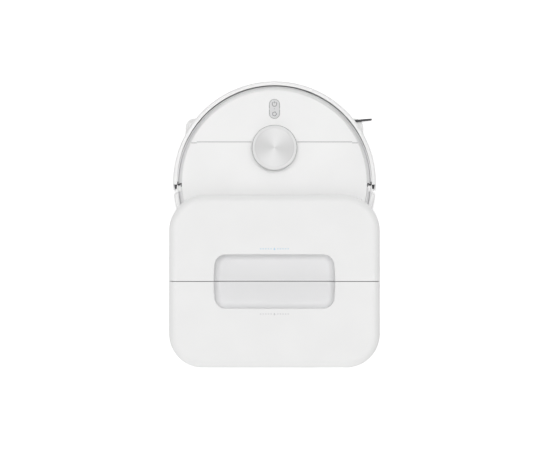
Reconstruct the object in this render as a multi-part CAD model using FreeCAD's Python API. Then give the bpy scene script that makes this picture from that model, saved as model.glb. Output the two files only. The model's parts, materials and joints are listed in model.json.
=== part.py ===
import FreeCAD, Part
import math
import os

# A round robot vacuum parked in its base station. Millimetres, +Z up, the floor at Z = 0.
# The robot drives out towards -Y. The origin is at the middle of the set's footprint.

V = FreeCAD.Vector

# ---------------------------------------------------------------- driving sizes: station
STATION_WIDTH = 340.0
STATION_DEPTH = 278.0
STATION_HEIGHT = 490.0
FRONT_CORNER = 58.0          # plan radius of the two front corners
REAR_CORNER = 54.0
HOUSING_WALL = 3.0
TOP_ROUNDING = 11.0          # outer edge of the lids
LID_HEIGHT = 35.0
LID_WALL = 3.0
SEAM_GAP = 1.0               # between the two half lids
POCKET_WIDTH = 195.0         # finger pocket over the seam
POCKET_DEPTH = 87.0
POCKET_CORNER = 18.0
POCKET_BOW = 1.2             # how far the short sides swell
POCKET_SINK = 20.0
POCKET_FLOOR_ROUNDING = 10.0
POCKET_RIM_ROUNDING = 1.2
TANK_HEIGHT = 126.0
TANK_WALL = 2.5
TANK_CLEARANCE = 1.5         # round each tank in its bay
TANK_FLOOR_ROUNDING = 8.0
TANK_NECK_RADIUS = 8.0       # valve stub below each tank
SHELF_THICKNESS = 4.0
PLATE_INSET = 14.5           # the ramp tongue is this much narrower than the station, each side
PLATE_REACH = 138.0
PLATE_CORNER = 16.0
PLATE_THICKNESS = 3.5
RAMP_LENGTH = 9.0
RAMP_EDGE = 1.2              # thickness left at the ramp's front edge
FOOT_RADIUS = 9.0
FOOT_HEIGHT = 3.0
FOOT_RECESS = 1.5
FOOT_INSET = 22.0            # foot centres from the sides
FOOT_FRONT_INSET = 24.0
FOOT_REAR_INSET = 34.0
PLATE_SCREW_SPACING = 120.0
PLATE_SCREW_INSET = 24.0     # from the station's rear face
PLATE_SCREW_EDGE = 14.0      # from the station's sides
PLATE_SCREW_STEP = 30.0      # side screws behind the seam
GARAGE_GAP = 4.0             # between the robot and the garage's round wall
GARAGE_HEADROOM = 17.0       # above the turret
LINER_WALL = 2.5
CEILING_THICKNESS = 3.0
PANEL_DROP = 6.0             # front panel's lower edge above the ceiling's top face
DOOR_WIDTH = 200.0
DOOR_TOP_MARGIN = 10.0       # the bay is this much taller than its door
DOOR_SILL = 31.0             # above the ceiling's top face
DOOR_GAP = 1.0
DOOR_CORNER = 3.0
DOOR_BARREL_RADIUS = 2.6
DOOR_PIVOT_INSET = 4.5
DOOR_PIN_RADIUS = 1.2
DOOR_PIN_LENGTH = 14.0
GRIP_RADIUS = 16.25          # shallow finger scoop at the door's free edge
GRIP_LENGTH = 15.0
GRIP_DEPTH = 1.2
VENT_WIDTH = 3.0             # upright air slots in the rear wall, behind the power supply
VENT_HEIGHT = 40.0
VENT_PITCH = 8.0
VENT_COUNT = 9
BAY_WIDTH = 180.0            # dust bag compartment, inside
BAY_DEPTH = 118.0
BAY_HEADROOM = 39.2          # from the bay's roof up to the tank shelf
BAY_FLOOR_DROP = 2.0         # the bay's floor lies below the door's sill
BAY_FOOT_RADIUS = 4.0
BAY_FOOT_INSET = 9.0
BAY_WALL = 2.5
BAG_GAP = 0.3
BAG_ROUNDING = 22.0
BAG_FRONT_SPACE = 9.0
DUCT_RADIUS = 18.0
DUCT_WALL = 2.0
BLOWER_RADIUS = 48.0
BLOWER_HEIGHT = 76.0
BLOWER_WALL = 2.5
BLOWER_IMPELLER_RADIUS = 40.0
BLOWER_IMPELLER_HEIGHT = 24.0
BLOWER_POST_RADIUS = 16.0    # motor body under the impeller
BLOWER_X = -72.0
BLOWER_INTAKE_RADIUS = 17.0
BLOWER_SEAM_GAP = 17.5       # from the seam line to the case
WHEEL_TOP_GAP = 3.0          # blower impeller below its lid
POST_GAP = 1.0               # motor post below an impeller
SHAFT_STOP = 4.0             # fan shafts end this far below an impeller's top
OUTLET_WIDTH = 38.4
PUMP_RADIUS = 16.0
PUMP_HEIGHT = 52.0
PUMP_OUTLET_LENGTH = 22.4
PUMP_INSET = 44.0            # from the station's sides
PIPE_RADIUS = 5.0
PIPE_WALL = 1.2
TRAY_LENGTH = 120.0          # wash tray, front to rear
TRAY_MARGIN = 4.0            # tray beyond the mops at the sides, and short of them at the rear
TRAY_CORNER = 14.0
TRAY_WALL_GAP = 4.0
TRAY_LEDGE = 6.0             # ledge of the plate under the tray's edge
TRAY_LEDGE_THICKNESS = 0.8
TRAY_RIM_WIDTH = 3.0
TRAY_RIB_INSET = 8.0
TRAY_RIB_MARGIN = 16.0
TRAY_THICKNESS = 1.2
TRAY_RIM = 0.7               # how far the tray stands above the plate
TRAY_RIB_WIDTH = 2.4
TRAY_RIB_PITCH = 12.0
CONTACT_SPACING = 70.0
CONTACT_WIDTH = 10.0
CONTACT_HEIGHT = 12.0
CONTACT_Z = 48.0
CONTACT_TRAVEL = 2.0
CARRIER_THICKNESS = 4.0
WINDOW_Z = 78.0
WINDOW_HEIGHT = 16.0
WINDOW_HALF_ANGLE = 8.0
INLET_INSET = 20.0           # from the start of the rear corner
INLET_WALL = 4.0
INLET_FLANGE = 2.5
INLET_CORNER = 3.0
INLET_PIN_SPACING = 8.6
INLET_PIN_SETBACK = 8.0      # pin tips below the rear face
INLET_SETBACK = 0.5
INLET_Z = 55.0
INLET_WIDTH = 30.0
INLET_HEIGHT = 20.0
INLET_DEPTH = 20.0
INLET_PIN_RADIUS = 1.2
SUPPLY_SIZE = (96.0, 66.0, 42.0)
SUPPLY_X = 40.0
SUPPLY_GAP = 12.0            # from the rear wall
SUPPLY_ROUNDING = 4.0
BOARD_SIZE = (120.0, 1.6, 92.0)
BOARD_OVERHANG = 14.0        # board's edge past the start of the rear corner
BOARD_DROP = 28.7            # below the tank shelf
CHIP_HEIGHT = 3.0
BOARD_STANDOFF = 6.0

# ---------------------------------------------------------------- driving sizes: robot
ROBOT_RADIUS = 175.0
ROBOT_AHEAD = 25.0           # robot centre in front of the station's front face
UNDERSIDE = 12.0             # chassis above the floor
CHASSIS_TOP = 40.0
DECK_TOP = 79.0
COVER_THICKNESS = 3.0
COVER_INSET = 8.0            # groove between the covers and the ring round them
COVER_ROUNDING = 1.2
COVER_SPLIT_LEAD = 10.0      # split line ahead of the turret's centre
COVER_SPLIT_GAP = 1.0
COVER_STEP = 1.7             # jog at the outer ends of the split line
COVER_STEP_LENGTH = 10.0
RING_WIDTH = 7.0             # bumper and skirt, seen from above
RING_TOP = 80.0
RING_ROUNDING = 3.0
BUMPER_BOTTOM = 14.0
SKIRT_BOTTOM = 22.0
BUMPER_END = 3.5             # behind the robot's centre
BUMPER_PRONG = 13.0
PRONG_WIDTH = 2.5
PRONG_BOTTOM = 20.0
PRONG_TOP = 66.0
SKIRT_START = 17.0
SKIRT_CORNER = 5.5
NOTCH_DEPTH = 6.5            # into the body, beside the bumper's ends
GUIDE_LENGTH = 8.0           # rib on each side of the body that carries the bumper
GUIDE_BOTTOM = 46.0
GUIDE_TOP = 64.0
BUMPER_TRAVEL = 2.5
FIT_GAP = 0.3                # flat running gap between neighbours
SEAT_GAP = 0.1               # between a fixed panel and the housing it sits in
BODY_WALL = 2.5
SHOULDER = 7.5               # rounding from the deck down to the body's side
TURRET_SETBACK = 67.0        # turret's centre behind the button's
TURRET_RADIUS = 39.0
TURRET_HEIGHT = 17.0         # above the covers
TURRET_WALL = 3.0
TURRET_CAP_THICKNESS = 5.0
TURRET_BASE_HEIGHT = 6.0
TURRET_POST_ANGLE = 16.0
TURRET_FLOOR = 2.0
TURRET_ROUNDING = 1.5
INLAY_GAP = 0.2
EYE_RADIUS = 2.6             # the two lenses of the lidar
EYE_DEPTH = 16.0
ROTOR_GAP = 1.0
INLAY_RADIUS = 34.0
INLAY_THICKNESS = 0.8
ROTOR_RADIUS = 30.0
ROTOR_PIN_RADIUS = 4.0
SHAFT_CLEARANCE = 0.05       # radial, every turning shaft in its hole
BUTTON_INSET = 33.0          # button's centre from the cover's front edge
BUTTON_WIDTH = 17.4
BUTTON_LENGTH = 33.0
BUTTON_GAP = 0.5
BUTTON_PROUD = 0.2
BUTTON_AXLE_RADIUS = 1.2
BUTTON_LUG = 6.0
BUTTON_TRAVEL = 0.8          # room under the rocker's ends
BUTTON_ROUNDING = 0.6
WINDOW_DEPTH = 1.5
BUMPER_WINDOW_Z = 52.0
BUMPER_WINDOW_HEIGHT = 20.0
BUMPER_WINDOW_ANGLE = 42.0
WHEEL_RADIUS = 30.0
WHEEL_WIDTH = 20.0
WHEEL_TRACK = 236.0
TYRE_THICKNESS = 4.0
TYRE_GROOVES = 24
GROOVE_WIDTH = 2.2
GROOVE_DEPTH = 1.6
HUB_RIM = 5.0
HUB_DISH = 2.0
AXLE_END_GAP = 4.0           # from the axle's end to the wheel's outer face
WHEEL_GAP = 4.0
ARM_LENGTH = 48.0
ARM_THICKNESS = 7.0
ARM_GAP = 2.0                # between the arm and its wheel
ARM_HALF_HEIGHT = 8.0
ARM_PIN_RADIUS = 3.0
AXLE_RADIUS = 4.0
DRIVE_MOTOR_RADIUS = 14.0
DRIVE_MOTOR_LENGTH = 17.0
LUG_THICKNESS = 5.0
LUG_REACH = 7.0              # from the pin's centre to the lug's edges
CASTER_AHEAD = 128.0
CASTER_RADIUS = 12.0
CASTER_WIDTH = 11.0
CASTER_TRAIL = 4.0
CASTER_WELL_RADIUS = 20.0
CASTER_WELL_DEPTH = 20.0
CASTER_STEM_RADIUS = 3.5
CASTER_AXLE_RADIUS = 1.5
CHEEK_THICKNESS = 2.5
CHEEK_REACH = 6.0            # from the caster's axle to the fork's edges
CASTER_PLATE = 3.0
CASTER_GAP = 0.5
CASTER_ROUNDING = 1.5
ROLLER_AHEAD = 62.0
ROLLER_RADIUS = 19.5
ROLLER_CORE_RADIUS = 12.0
ROLLER_LENGTH = 170.0
ROLLER_LIFT = 9.5            # roller's underside above the floor
ROLLER_FINS = 6
ROLLER_AXLE_RADIUS = 3.0
BRUSH_HOUSING_LENGTH = 184.0
BRUSH_HOUSING_DEPTH = 48.0
BRUSH_HOUSING_TOP = 52.0
BRUSH_HOUSING_ROUNDING = 9.0
BRUSH_TUNNEL_GAP = 2.0
SLEEVE_WALL = 2.0
FIN_THICKNESS = 3.0
SIDE_BRUSH_INSET = 34.44     # shaft from the robot's edge, along the bearing
SIDE_BRUSH_BEARING = 47.48   # from straight sideways towards the front
SIDE_BRUSH_REACH = 73.5
SIDE_BRUSH_ANGLE = 185.3     # first arm, from +X
SIDE_BRUSH_ARMS = 3
SIDE_BRUSH_HUB_RADIUS = 11.0
BRISTLE_ROOT = 24.2          # where the bristles leave the hub's arms
HUB_ARM_WALL = 0.8           # hub arm round its bristles
BRISTLE_LIFT = 5.6
BRISTLE_THICKNESS = 2.8
BRISTLE_WIDTH = 4.0
SIDE_BRUSH_SHAFT_RADIUS = 3.0
SIDE_BRUSH_SHAFT_REACH = 9.0
SIDE_BRUSH_MOTOR_RADIUS = 13.0
SIDE_BRUSH_MOTOR_HEIGHT = 22.0
MOP_SPACING = 132.0
MOP_BEHIND = 92.0
MOP_RADIUS = 61.0
MOP_PAD_THICKNESS = 8.0
MOP_PAD_ROUNDING = 3.0
MOP_HOLDER_INSET = 3.0
MOP_HOLDER_THICKNESS = 5.0
MOP_HOLDER_ROUNDING = 1.5
MOP_SHAFT_RADIUS = 5.0
MOP_SHAFT_LENGTH = 13.0
MOP_BAY_GAP = 4.0
MOP_BAY_TOP = 22.0
MOP_DRIVE_SIZE = (158.0, 34.0, 18.0)
MOP_DRIVE_ROUNDING = 8.0
BATTERY_SIZE = (124.0, 50.0, 30.0)
BATTERY_AHEAD = 8.0
BATTERY_ROUNDING = 5.0
BIN_WIDTH = 160.0
BIN_HEIGHT = 27.0
BIN_RIM = 14.85              # body left behind the bin's rear corners
BIN_FAN_GAP = 7.0
BIN_CORNER = 6.0
BIN_INLET_RADIUS = 9.0
BIN_WALL = 2.0
FAN_RADIUS = 26.0
FAN_HEIGHT = 28.0
FAN_AHEAD = 7.0
FAN_WALL = 2.0
FAN_IMPELLER_RADIUS = 20.0
FAN_IMPELLER_HEIGHT = 12.0
FAN_POST_RADIUS = 9.0
FAN_INTAKE_RADIUS = 9.0
FAN_OUTLET_WIDTH = 16.0
ROBOT_BOARD_SIZE = (140.0, 44.0, 1.6)
BOARD_POST_HEIGHT = 6.0
BOARD_POST_RADIUS = 3.0
BOARD_POST_INSET = 10.0      # posts from the robot board's edges
SCREW_HEAD_RADIUS = 3.2
SCREW_HEAD_HEIGHT = 1.8
SCREW_SHANK_RADIUS = 1.5
SCREW_LENGTH = 9.0
SCREW_BOSS_WALL = 1.5
SCREW_FRONT_X = 45.0
SCREW_GAP = 15.0             # ahead of the brush housing
SCREW_SIDE_GAP = 10.0        # beside the battery
SCREW_REAR_AHEAD = 26.0
BLADES = 9
BLADE_THICKNESS = 2.0
HUB_WALL = 4.0

# ---------------------------------------------------------------- places worked out from the sizes
HALF_WIDTH = STATION_WIDTH / 2
PLATE_WIDTH = STATION_WIDTH - 2 * PLATE_INSET
TOTAL_DEPTH = ROBOT_RADIUS + ROBOT_AHEAD + STATION_DEPTH
ROBOT_Y = ROBOT_RADIUS - TOTAL_DEPTH / 2
STATION_FRONT = ROBOT_Y + ROBOT_AHEAD
STATION_REAR = STATION_FRONT + STATION_DEPTH
SEAM_Y = (STATION_FRONT + STATION_REAR) / 2
PLATE_BOTTOM = FOOT_HEIGHT - FOOT_RECESS
PLATE_TOP = PLATE_BOTTOM + PLATE_THICKNESS
COVER_TOP = DECK_TOP + COVER_THICKNESS
TURRET_TOP = COVER_TOP + TURRET_HEIGHT
CEILING = TURRET_TOP + GARAGE_HEADROOM
MECHANICS_FLOOR = CEILING + CEILING_THICKNESS
LID_BOTTOM = STATION_HEIGHT - LID_HEIGHT
TANK_BOTTOM = LID_BOTTOM - TANK_HEIGHT
SHELF_TOP = TANK_BOTTOM - FIT_GAP
SHELF_BOTTOM = SHELF_TOP - SHELF_THICKNESS
DOOR_BOTTOM = MECHANICS_FLOOR + DOOR_SILL
BAY_FLOOR = DOOR_BOTTOM - BAY_WALL - BAY_FLOOR_DROP
BAY_HEIGHT = SHELF_BOTTOM - BAY_HEADROOM - BAY_FLOOR
DOOR_HEIGHT = BAY_HEIGHT - DOOR_TOP_MARGIN
REAR_FLAT = HALF_WIDTH - REAR_CORNER         # half of the rear wall's flat width
INLET_X = INLET_INSET - REAR_FLAT
PUMP_X = HALF_WIDTH - PUMP_INSET
BOARD_X = REAR_FLAT + BOARD_OVERHANG - BOARD_SIZE[0] / 2
BOARD_Z = SHELF_BOTTOM - BOARD_DROP - BOARD_SIZE[2] / 2
LINER_RADIUS = ROBOT_RADIUS + GARAGE_GAP
RING_INNER = ROBOT_RADIUS - RING_WIDTH
COVER_RADIUS = RING_INNER - COVER_INSET
NOTCH_HALF_WIDTH = RING_INNER - NOTCH_DEPTH
BODY_SHIFT = (BUMPER_TRAVEL + FIT_GAP) / 2   # the body sits back in its ring, to let the bumper travel
BODY_RADIUS = RING_INNER - FIT_GAP - BODY_SHIFT
BODY_Y = ROBOT_Y + BODY_SHIFT
BUTTON_Y = ROBOT_Y - COVER_RADIUS + BUTTON_INSET
TURRET_Y = BUTTON_Y + TURRET_SETBACK
COVER_SPLIT_Y = TURRET_Y - COVER_SPLIT_LEAD
ROLLER_Y = ROBOT_Y - ROLLER_AHEAD
ROLLER_Z = ROLLER_LIFT + ROLLER_RADIUS
WHEEL_X = WHEEL_TRACK / 2
WHEEL_Z = PLATE_TOP + FIT_GAP + WHEEL_RADIUS
ARM_PIVOT_Y = ROBOT_Y - ARM_LENGTH
CASTER_Y = ROBOT_Y - CASTER_AHEAD
CASTER_Z = FIT_GAP + CASTER_RADIUS
SIDE_BRUSH_OUT = ROBOT_RADIUS - SIDE_BRUSH_INSET
SIDE_BRUSH_X = -SIDE_BRUSH_OUT * math.cos(math.radians(SIDE_BRUSH_BEARING))
SIDE_BRUSH_Y = ROBOT_Y - SIDE_BRUSH_OUT * math.sin(math.radians(SIDE_BRUSH_BEARING))
MOP_Y = ROBOT_Y + MOP_BEHIND
TRAY_HALF_WIDTH = MOP_SPACING / 2 + MOP_RADIUS + TRAY_MARGIN
TRAY_REAR = MOP_Y + MOP_RADIUS - TRAY_MARGIN
BIN_FRONT_Y = ROBOT_Y - FAN_AHEAD + FAN_RADIUS + BIN_FAN_GAP
BIN_REAR_Y = BODY_Y + math.sqrt((BODY_RADIUS - BIN_RIM) ** 2 - (BIN_WIDTH / 2) ** 2)
TRAY_TOP = PLATE_TOP + TRAY_RIM
MOP_PAD_BOTTOM = TRAY_TOP + FIT_GAP
FLOOR_INSIDE = UNDERSIDE + BODY_WALL
BLOWER_Y = SEAM_Y + BLOWER_SEAM_GAP + BLOWER_RADIUS


def box(x0, x1, y0, y1, z0, z1):
    return Part.makeBox(x1 - x0, y1 - y0, z1 - z0, V(x0, y0, z0))


def disc(radius, z0, z1, x=0.0, y=0.0):
    return Part.makeCylinder(radius, z1 - z0, V(x, y, z0))


def tube(outer, inner, z0, z1, x=0.0, y=0.0):
    return disc(outer, z0, z1, x, y).cut(disc(inner, z0, z1, x, y))


def rod(radius, start, end):
    start, end = V(*start), V(*end)
    return Part.makeCylinder(radius, (end - start).Length, start, end - start)


def fuse(first, *others):
    return first.fuse(list(others)).removeSplitter()


def round_edges(shape, radius, pick):
    """Rounds the edges for which pick(edge) is true."""
    edges = [edge for edge in shape.Edges if pick(edge)]
    return shape.makeFillet(radius, edges) if edges and radius > 0 else shape


def is_upright(edge):
    a, b = edge.Vertexes[0].Point, edge.Vertexes[-1].Point
    return math.hypot(a.x - b.x, a.y - b.y) < 1e-6 and abs(a.z - b.z) > 1e-6


def lies_at(z):
    """Picks the edges that lie flat at height z."""
    return lambda edge: all(abs(v.Point.z - z) < 1e-6 for v in edge.Vertexes)


def rounded_block(x0, x1, y0, y1, z0, z1, radius):
    return round_edges(box(x0, x1, y0, y1, z0, z1), radius, is_upright)


def pill(length, width, z0, z1, y):
    """An upright pill, long in Y, centred on x = 0."""
    half = (length - width) / 2
    ends = [disc(width / 2, z0, z1, 0, y + side * half) for side in (-1, 1)]
    return fuse(box(-width / 2, width / 2, y - half, y + half, z0, z1), *ends)


def bladed_wheel(radius, z0, z1, x, y, shaft):
    """A blower impeller: a back plate on top, a hub with a blind bore from below, and radial blades."""
    plate = BLADE_THICKNESS
    hub = disc(shaft + HUB_WALL, z0, z1, x, y)
    wheel = fuse(disc(radius, z1 - plate, z1, x, y), hub)
    half = BLADE_THICKNESS / 2
    blade = box(x + shaft + HUB_WALL / 2, x + radius, y - half, y + half, z0, z1 - plate / 2)
    for index in range(BLADES):
        turned = blade.copy()
        turned.rotate(V(x, y, 0), V(0, 0, 1), 360.0 * index / BLADES)
        wheel = wheel.fuse(turned)
    return wheel.removeSplitter().cut(disc(shaft + SHAFT_CLEARANCE, z0, z1 - plate, x, y))


def save(node, *solids):
    """Writes one node. Several solids stay separate solids in one file."""
    shape = solids[0] if len(solids) == 1 else Part.makeCompound(list(solids))
    if shape.ShapeType == "Compound" and len(shape.Solids) == 1:
        shape = shape.Solids[0]
    print(node, "solids", len(shape.Solids), "valid", shape.isValid())
    shape.exportStep("parts/" + node + ".step")


# ---------------------------------------------------------------- station
def station_block(inset, z0, z1):
    """The station's rounded outline, drawn in by inset, as an upright block."""
    x = HALF_WIDTH - inset
    block = box(-x, x, STATION_FRONT + inset, STATION_REAR - inset, z0, z1)
    front = lambda e: is_upright(e) and e.Vertexes[0].Point.y < SEAM_Y
    block = round_edges(block, FRONT_CORNER - inset, front)
    rear = lambda e: is_upright(e) and abs(e.Vertexes[0].Point.y - STATION_REAR + inset) < 1e-6
    return round_edges(block, REAR_CORNER - inset, rear)


def half_of(shape, side, gap):
    """Keeps the part of a shape in front of the seam (side -1) or behind it (side 1)."""
    far = 2 * STATION_DEPTH
    near = SEAM_Y + side * gap / 2
    low, high = (near - far, near) if side < 0 else (near, near + far)
    return shape.common(box(-far, far, low, high, -far, far))


def garage_mouth_y():
    """Where the side walls start: from here back they clear the robot on its way in and when parked."""
    reach, inner = LINER_RADIUS, HALF_WIDTH - HOUSING_WALL - LINER_WALL
    if reach > inner:
        return ROBOT_Y + math.sqrt(reach ** 2 - inner ** 2)
    corner = FRONT_CORNER - HOUSING_WALL - LINER_WALL
    aside = max(0.0, reach - HALF_WIDTH + FRONT_CORNER)
    return STATION_FRONT + FRONT_CORNER - math.sqrt(corner ** 2 - aside ** 2)


def pocket_block(grow, z0, z1):
    """The finger pocket: straight long sides, gently bowed short sides, all corners tangent."""
    half_x, half_y = POCKET_WIDTH / 2 + grow, POCKET_DEPTH / 2 + grow
    r = POCKET_CORNER + grow
    corner_y = half_y - r
    bow_radius = (corner_y ** 2 + POCKET_BOW ** 2) / (2 * POCKET_BOW) + grow
    bow_x = half_x - bow_radius
    corner_x = bow_x + math.sqrt((bow_radius - r) ** 2 - corner_y ** 2)
    touch = bow_radius / (bow_radius - r)
    touch_x, touch_y = bow_x + (corner_x - bow_x) * touch, corner_y * touch
    turn = (math.atan2(corner_y, corner_x - bow_x) + math.pi / 2) / 2
    mid_x, mid_y = corner_x + r * math.cos(turn), corner_y + r * math.sin(turn)

    def at(x, y):
        return V(x, SEAM_Y + y, z0)

    edges = []
    for side in (1, -1):
        edges += [
            Part.Arc(at(side * touch_x, -side * touch_y), at(side * half_x, 0),
                     at(side * touch_x, side * touch_y)),
            Part.Arc(at(side * touch_x, side * touch_y), at(side * mid_x, side * mid_y),
                     at(side * corner_x, side * half_y)),
            Part.LineSegment(at(side * corner_x, side * half_y), at(-side * corner_x, side * half_y)),
            Part.Arc(at(-side * corner_x, side * half_y), at(-side * mid_x, side * mid_y),
                     at(-side * touch_x, side * touch_y)),
        ]
    face = Part.Face(Part.Wire([edge.toShape() for edge in edges]))
    return face.extrude(V(0, 0, z1 - z0))


def lids():
    """Two half lids: a rounded cap over both tanks with the finger pocket sunk across the seam."""
    pocket_floor = STATION_HEIGHT - POCKET_SINK
    cap = round_edges(station_block(0, LID_BOTTOM, STATION_HEIGHT), TOP_ROUNDING, lies_at(STATION_HEIGHT))
    hollow = station_block(LID_WALL, LID_BOTTOM, STATION_HEIGHT - LID_WALL)
    hollow = round_edges(hollow, TOP_ROUNDING - LID_WALL, lies_at(STATION_HEIGHT - LID_WALL))
    tub = pocket_block(LID_WALL, pocket_floor - LID_WALL, STATION_HEIGHT)
    web = box(-HALF_WIDTH, HALF_WIDTH, SEAM_Y - LID_WALL, SEAM_Y + LID_WALL, LID_BOTTOM, STATION_HEIGHT)
    cap = cap.cut(hollow.cut(tub).cut(web))
    pocket = pocket_block(0, pocket_floor, STATION_HEIGHT)
    cap = cap.cut(round_edges(pocket, POCKET_FLOOR_ROUNDING, lies_at(pocket_floor)))
    rim = lambda e: lies_at(STATION_HEIGHT)(e) and abs(e.CenterOfMass.x) < POCKET_WIDTH * 0.6 \
        and abs(e.CenterOfMass.y - SEAM_Y) < POCKET_DEPTH * 0.6
    cap = round_edges(cap, POCKET_RIM_ROUNDING, rim)
    for side, name in ((-1, "clean_lid"), (1, "dirty_lid")):
        save(name, half_of(cap, side, SEAM_GAP))


def tank_port(side):
    """Centre of a tank's valve stub; side -1 is the clean tank in front."""
    return PUMP_X, SEAM_Y + side * STATION_DEPTH / 7


def tanks():
    """Two open-top tanks that hang side by side under the lids, each with a valve stub."""
    outset = HOUSING_WALL + TANK_CLEARANCE
    for side, name in ((-1, "clean_tank"), (1, "dirty_tank")):
        seam = SEAM_GAP + 2 * TANK_CLEARANCE
        outer = half_of(station_block(outset, TANK_BOTTOM, LID_BOTTOM), side, seam)
        outer = round_edges(outer, TANK_FLOOR_ROUNDING, lies_at(TANK_BOTTOM))
        inner = station_block(outset + TANK_WALL, TANK_BOTTOM + TANK_WALL, LID_BOTTOM)
        inner = half_of(inner, side, seam + 2 * TANK_WALL)
        inner = round_edges(inner, TANK_FLOOR_ROUNDING - TANK_WALL, lies_at(TANK_BOTTOM + TANK_WALL))
        x, y = tank_port(side)
        stub_bottom = SHELF_BOTTOM + FIT_GAP
        tank = outer.cut(inner).fuse(disc(TANK_NECK_RADIUS, stub_bottom, TANK_BOTTOM + TANK_WALL, x, y))
        save(name, tank.removeSplitter())


def tank_shelf():
    """The floor of the tank bay, with a hole for each valve stub."""
    shelf = station_block(HOUSING_WALL + SEAT_GAP, SHELF_BOTTOM, SHELF_TOP)
    for side in (-1, 1):
        x, y = tank_port(side)
        shelf = shelf.cut(disc(TANK_NECK_RADIUS + FIT_GAP, SHELF_BOTTOM, SHELF_TOP, x, y))
    save("tank_shelf", shelf)


def door_opening(gap, y0, y1):
    """The bag door's outline, drawn in by gap, as a block from y0 to y1."""
    block = box(-DOOR_WIDTH / 2 + gap, DOOR_WIDTH / 2 - gap, y0, y1,
                DOOR_BOTTOM + gap, DOOR_BOTTOM + DOOR_HEIGHT - gap)
    along_y = lambda e: abs(e.Vertexes[0].Point.y - e.Vertexes[-1].Point.y) > 1e-6
    return round_edges(block, DOOR_CORNER - gap, along_y)


def door_pivot():
    return -DOOR_WIDTH / 2 + DOOR_PIVOT_INSET, STATION_FRONT + DOOR_BARREL_RADIUS


def pin_spans():
    """Height ranges of the two hinge pins: from the frame into the door's ends."""
    top = DOOR_BOTTOM + DOOR_HEIGHT
    reach = DOOR_PIN_LENGTH / 2
    return (DOOR_BOTTOM - reach, DOOR_BOTTOM + DOOR_CORNER + reach), (top - DOOR_CORNER - reach, top + reach)


def dock_housing():
    """Outer shell: open below for the robot, open above for the tanks, with the bag door's opening."""
    shell = station_block(0, PLATE_BOTTOM, LID_BOTTOM - FIT_GAP)
    shell = shell.cut(station_block(HOUSING_WALL, PLATE_BOTTOM, LID_BOTTOM))
    panel_edge = MECHANICS_FLOOR - PANEL_DROP
    shell = shell.cut(box(-STATION_WIDTH, STATION_WIDTH, STATION_FRONT - 1, garage_mouth_y(), 0, panel_edge))
    shell = shell.cut(door_opening(0, STATION_FRONT - 1, STATION_FRONT + HOUSING_WALL + 1))
    shell = shell.cut(inlet_block(0, STATION_REAR - 2 * HOUSING_WALL, STATION_REAR + 1))
    x, y = door_pivot()
    for low, high in pin_spans():
        shell = shell.cut(disc(DOOR_PIN_RADIUS, low, high, x, y))
    middle = MECHANICS_FLOOR + SUPPLY_SIZE[2] / 2
    for index in range(VENT_COUNT):
        x = SUPPLY_X + (index - (VENT_COUNT - 1) / 2) * VENT_PITCH
        slot = box(x - VENT_WIDTH / 2, x + VENT_WIDTH / 2, STATION_REAR - 2 * HOUSING_WALL, STATION_REAR + 1,
                   middle - VENT_HEIGHT / 2, middle + VENT_HEIGHT / 2)
        shell = shell.cut(slot)
    save("dock_housing", shell)


def bag_door():
    """Front door of the dust bag bay, hinged on two short upright pins at its left edge."""
    x, y = door_pivot()
    door = door_opening(DOOR_GAP, STATION_FRONT, STATION_FRONT + HOUSING_WALL)
    barrel_top = DOOR_BOTTOM + DOOR_HEIGHT - DOOR_CORNER
    barrel = disc(DOOR_BARREL_RADIUS, DOOR_BOTTOM + DOOR_CORNER, barrel_top, x, y)
    grip_y, grip_z = STATION_FRONT - GRIP_RADIUS + GRIP_DEPTH, DOOR_BOTTOM + DOOR_HEIGHT / 2
    edge = DOOR_WIDTH / 2 + 1
    grip = rod(GRIP_RADIUS, (edge - GRIP_LENGTH, grip_y, grip_z), (edge, grip_y, grip_z))
    door = fuse(door, barrel).cut(grip)
    pins = []
    for low, high in pin_spans():
        door = door.cut(disc(DOOR_PIN_RADIUS + SHAFT_CLEARANCE, low - 1, high + 1, x, y))
        pins.append(disc(DOOR_PIN_RADIUS, low, high, x, y))
    save("bag_door", door)
    save("door_pins", *pins)


def bag_bay():
    """Open-fronted box behind the door, on feet, with its duct down to the garage, and the bag in it."""
    x = BAY_WIDTH / 2
    front = STATION_FRONT + HOUSING_WALL + DOOR_BARREL_RADIUS
    floor = BAY_FLOOR
    outer = box(-x - BAY_WALL, x + BAY_WALL, front, front + BAY_DEPTH, floor, floor + BAY_HEIGHT)
    inner = box(-x, x, front - 1, front + BAY_DEPTH - BAY_WALL,
                floor + BAY_WALL, floor + BAY_HEIGHT - BAY_WALL)
    bay = outer.cut(inner)
    duct_y = front + BAY_DEPTH / 2
    bay = bay.cut(disc(DUCT_RADIUS - DUCT_WALL, floor - 1, floor + BAY_WALL + 1, 0, duct_y))
    foot_x = x - BAY_FOOT_INSET
    feet = [disc(BAY_FOOT_RADIUS, MECHANICS_FLOOR, floor, side * foot_x, foot_y) for side in (-1, 1)
            for foot_y in (front + BAY_FOOT_INSET, front + BAY_DEPTH - BAY_FOOT_INSET)]
    duct = tube(DUCT_RADIUS, DUCT_RADIUS - DUCT_WALL, MECHANICS_FLOOR, floor, 0, duct_y)
    save("bag_bay", fuse(bay, duct, *feet))
    bag = box(-x + BAG_GAP, x - BAG_GAP, front + BAG_FRONT_SPACE, front + BAY_DEPTH - BAY_WALL - BAG_GAP,
              floor + BAY_WALL + BAG_GAP, floor + BAY_HEIGHT - BAY_WALL - BAG_GAP)
    along_x = lambda e: abs(e.Vertexes[0].Point.x - e.Vertexes[-1].Point.x) > 1e-6
    save("dust_bag", round_edges(bag, BAG_ROUNDING, along_x))
    return duct_y


def liner_piece(r0, r1, z0, z1):
    """A ring about the robot's centre, kept inside the housing and behind the garage mouth."""
    inside = station_block(HOUSING_WALL + SEAT_GAP, z0, z1)
    inside = inside.common(box(-HALF_WIDTH, HALF_WIDTH, garage_mouth_y(), STATION_REAR, z0, z1))
    return tube(r1, r0, z0, z1, 0, ROBOT_Y).common(inside)


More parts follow.
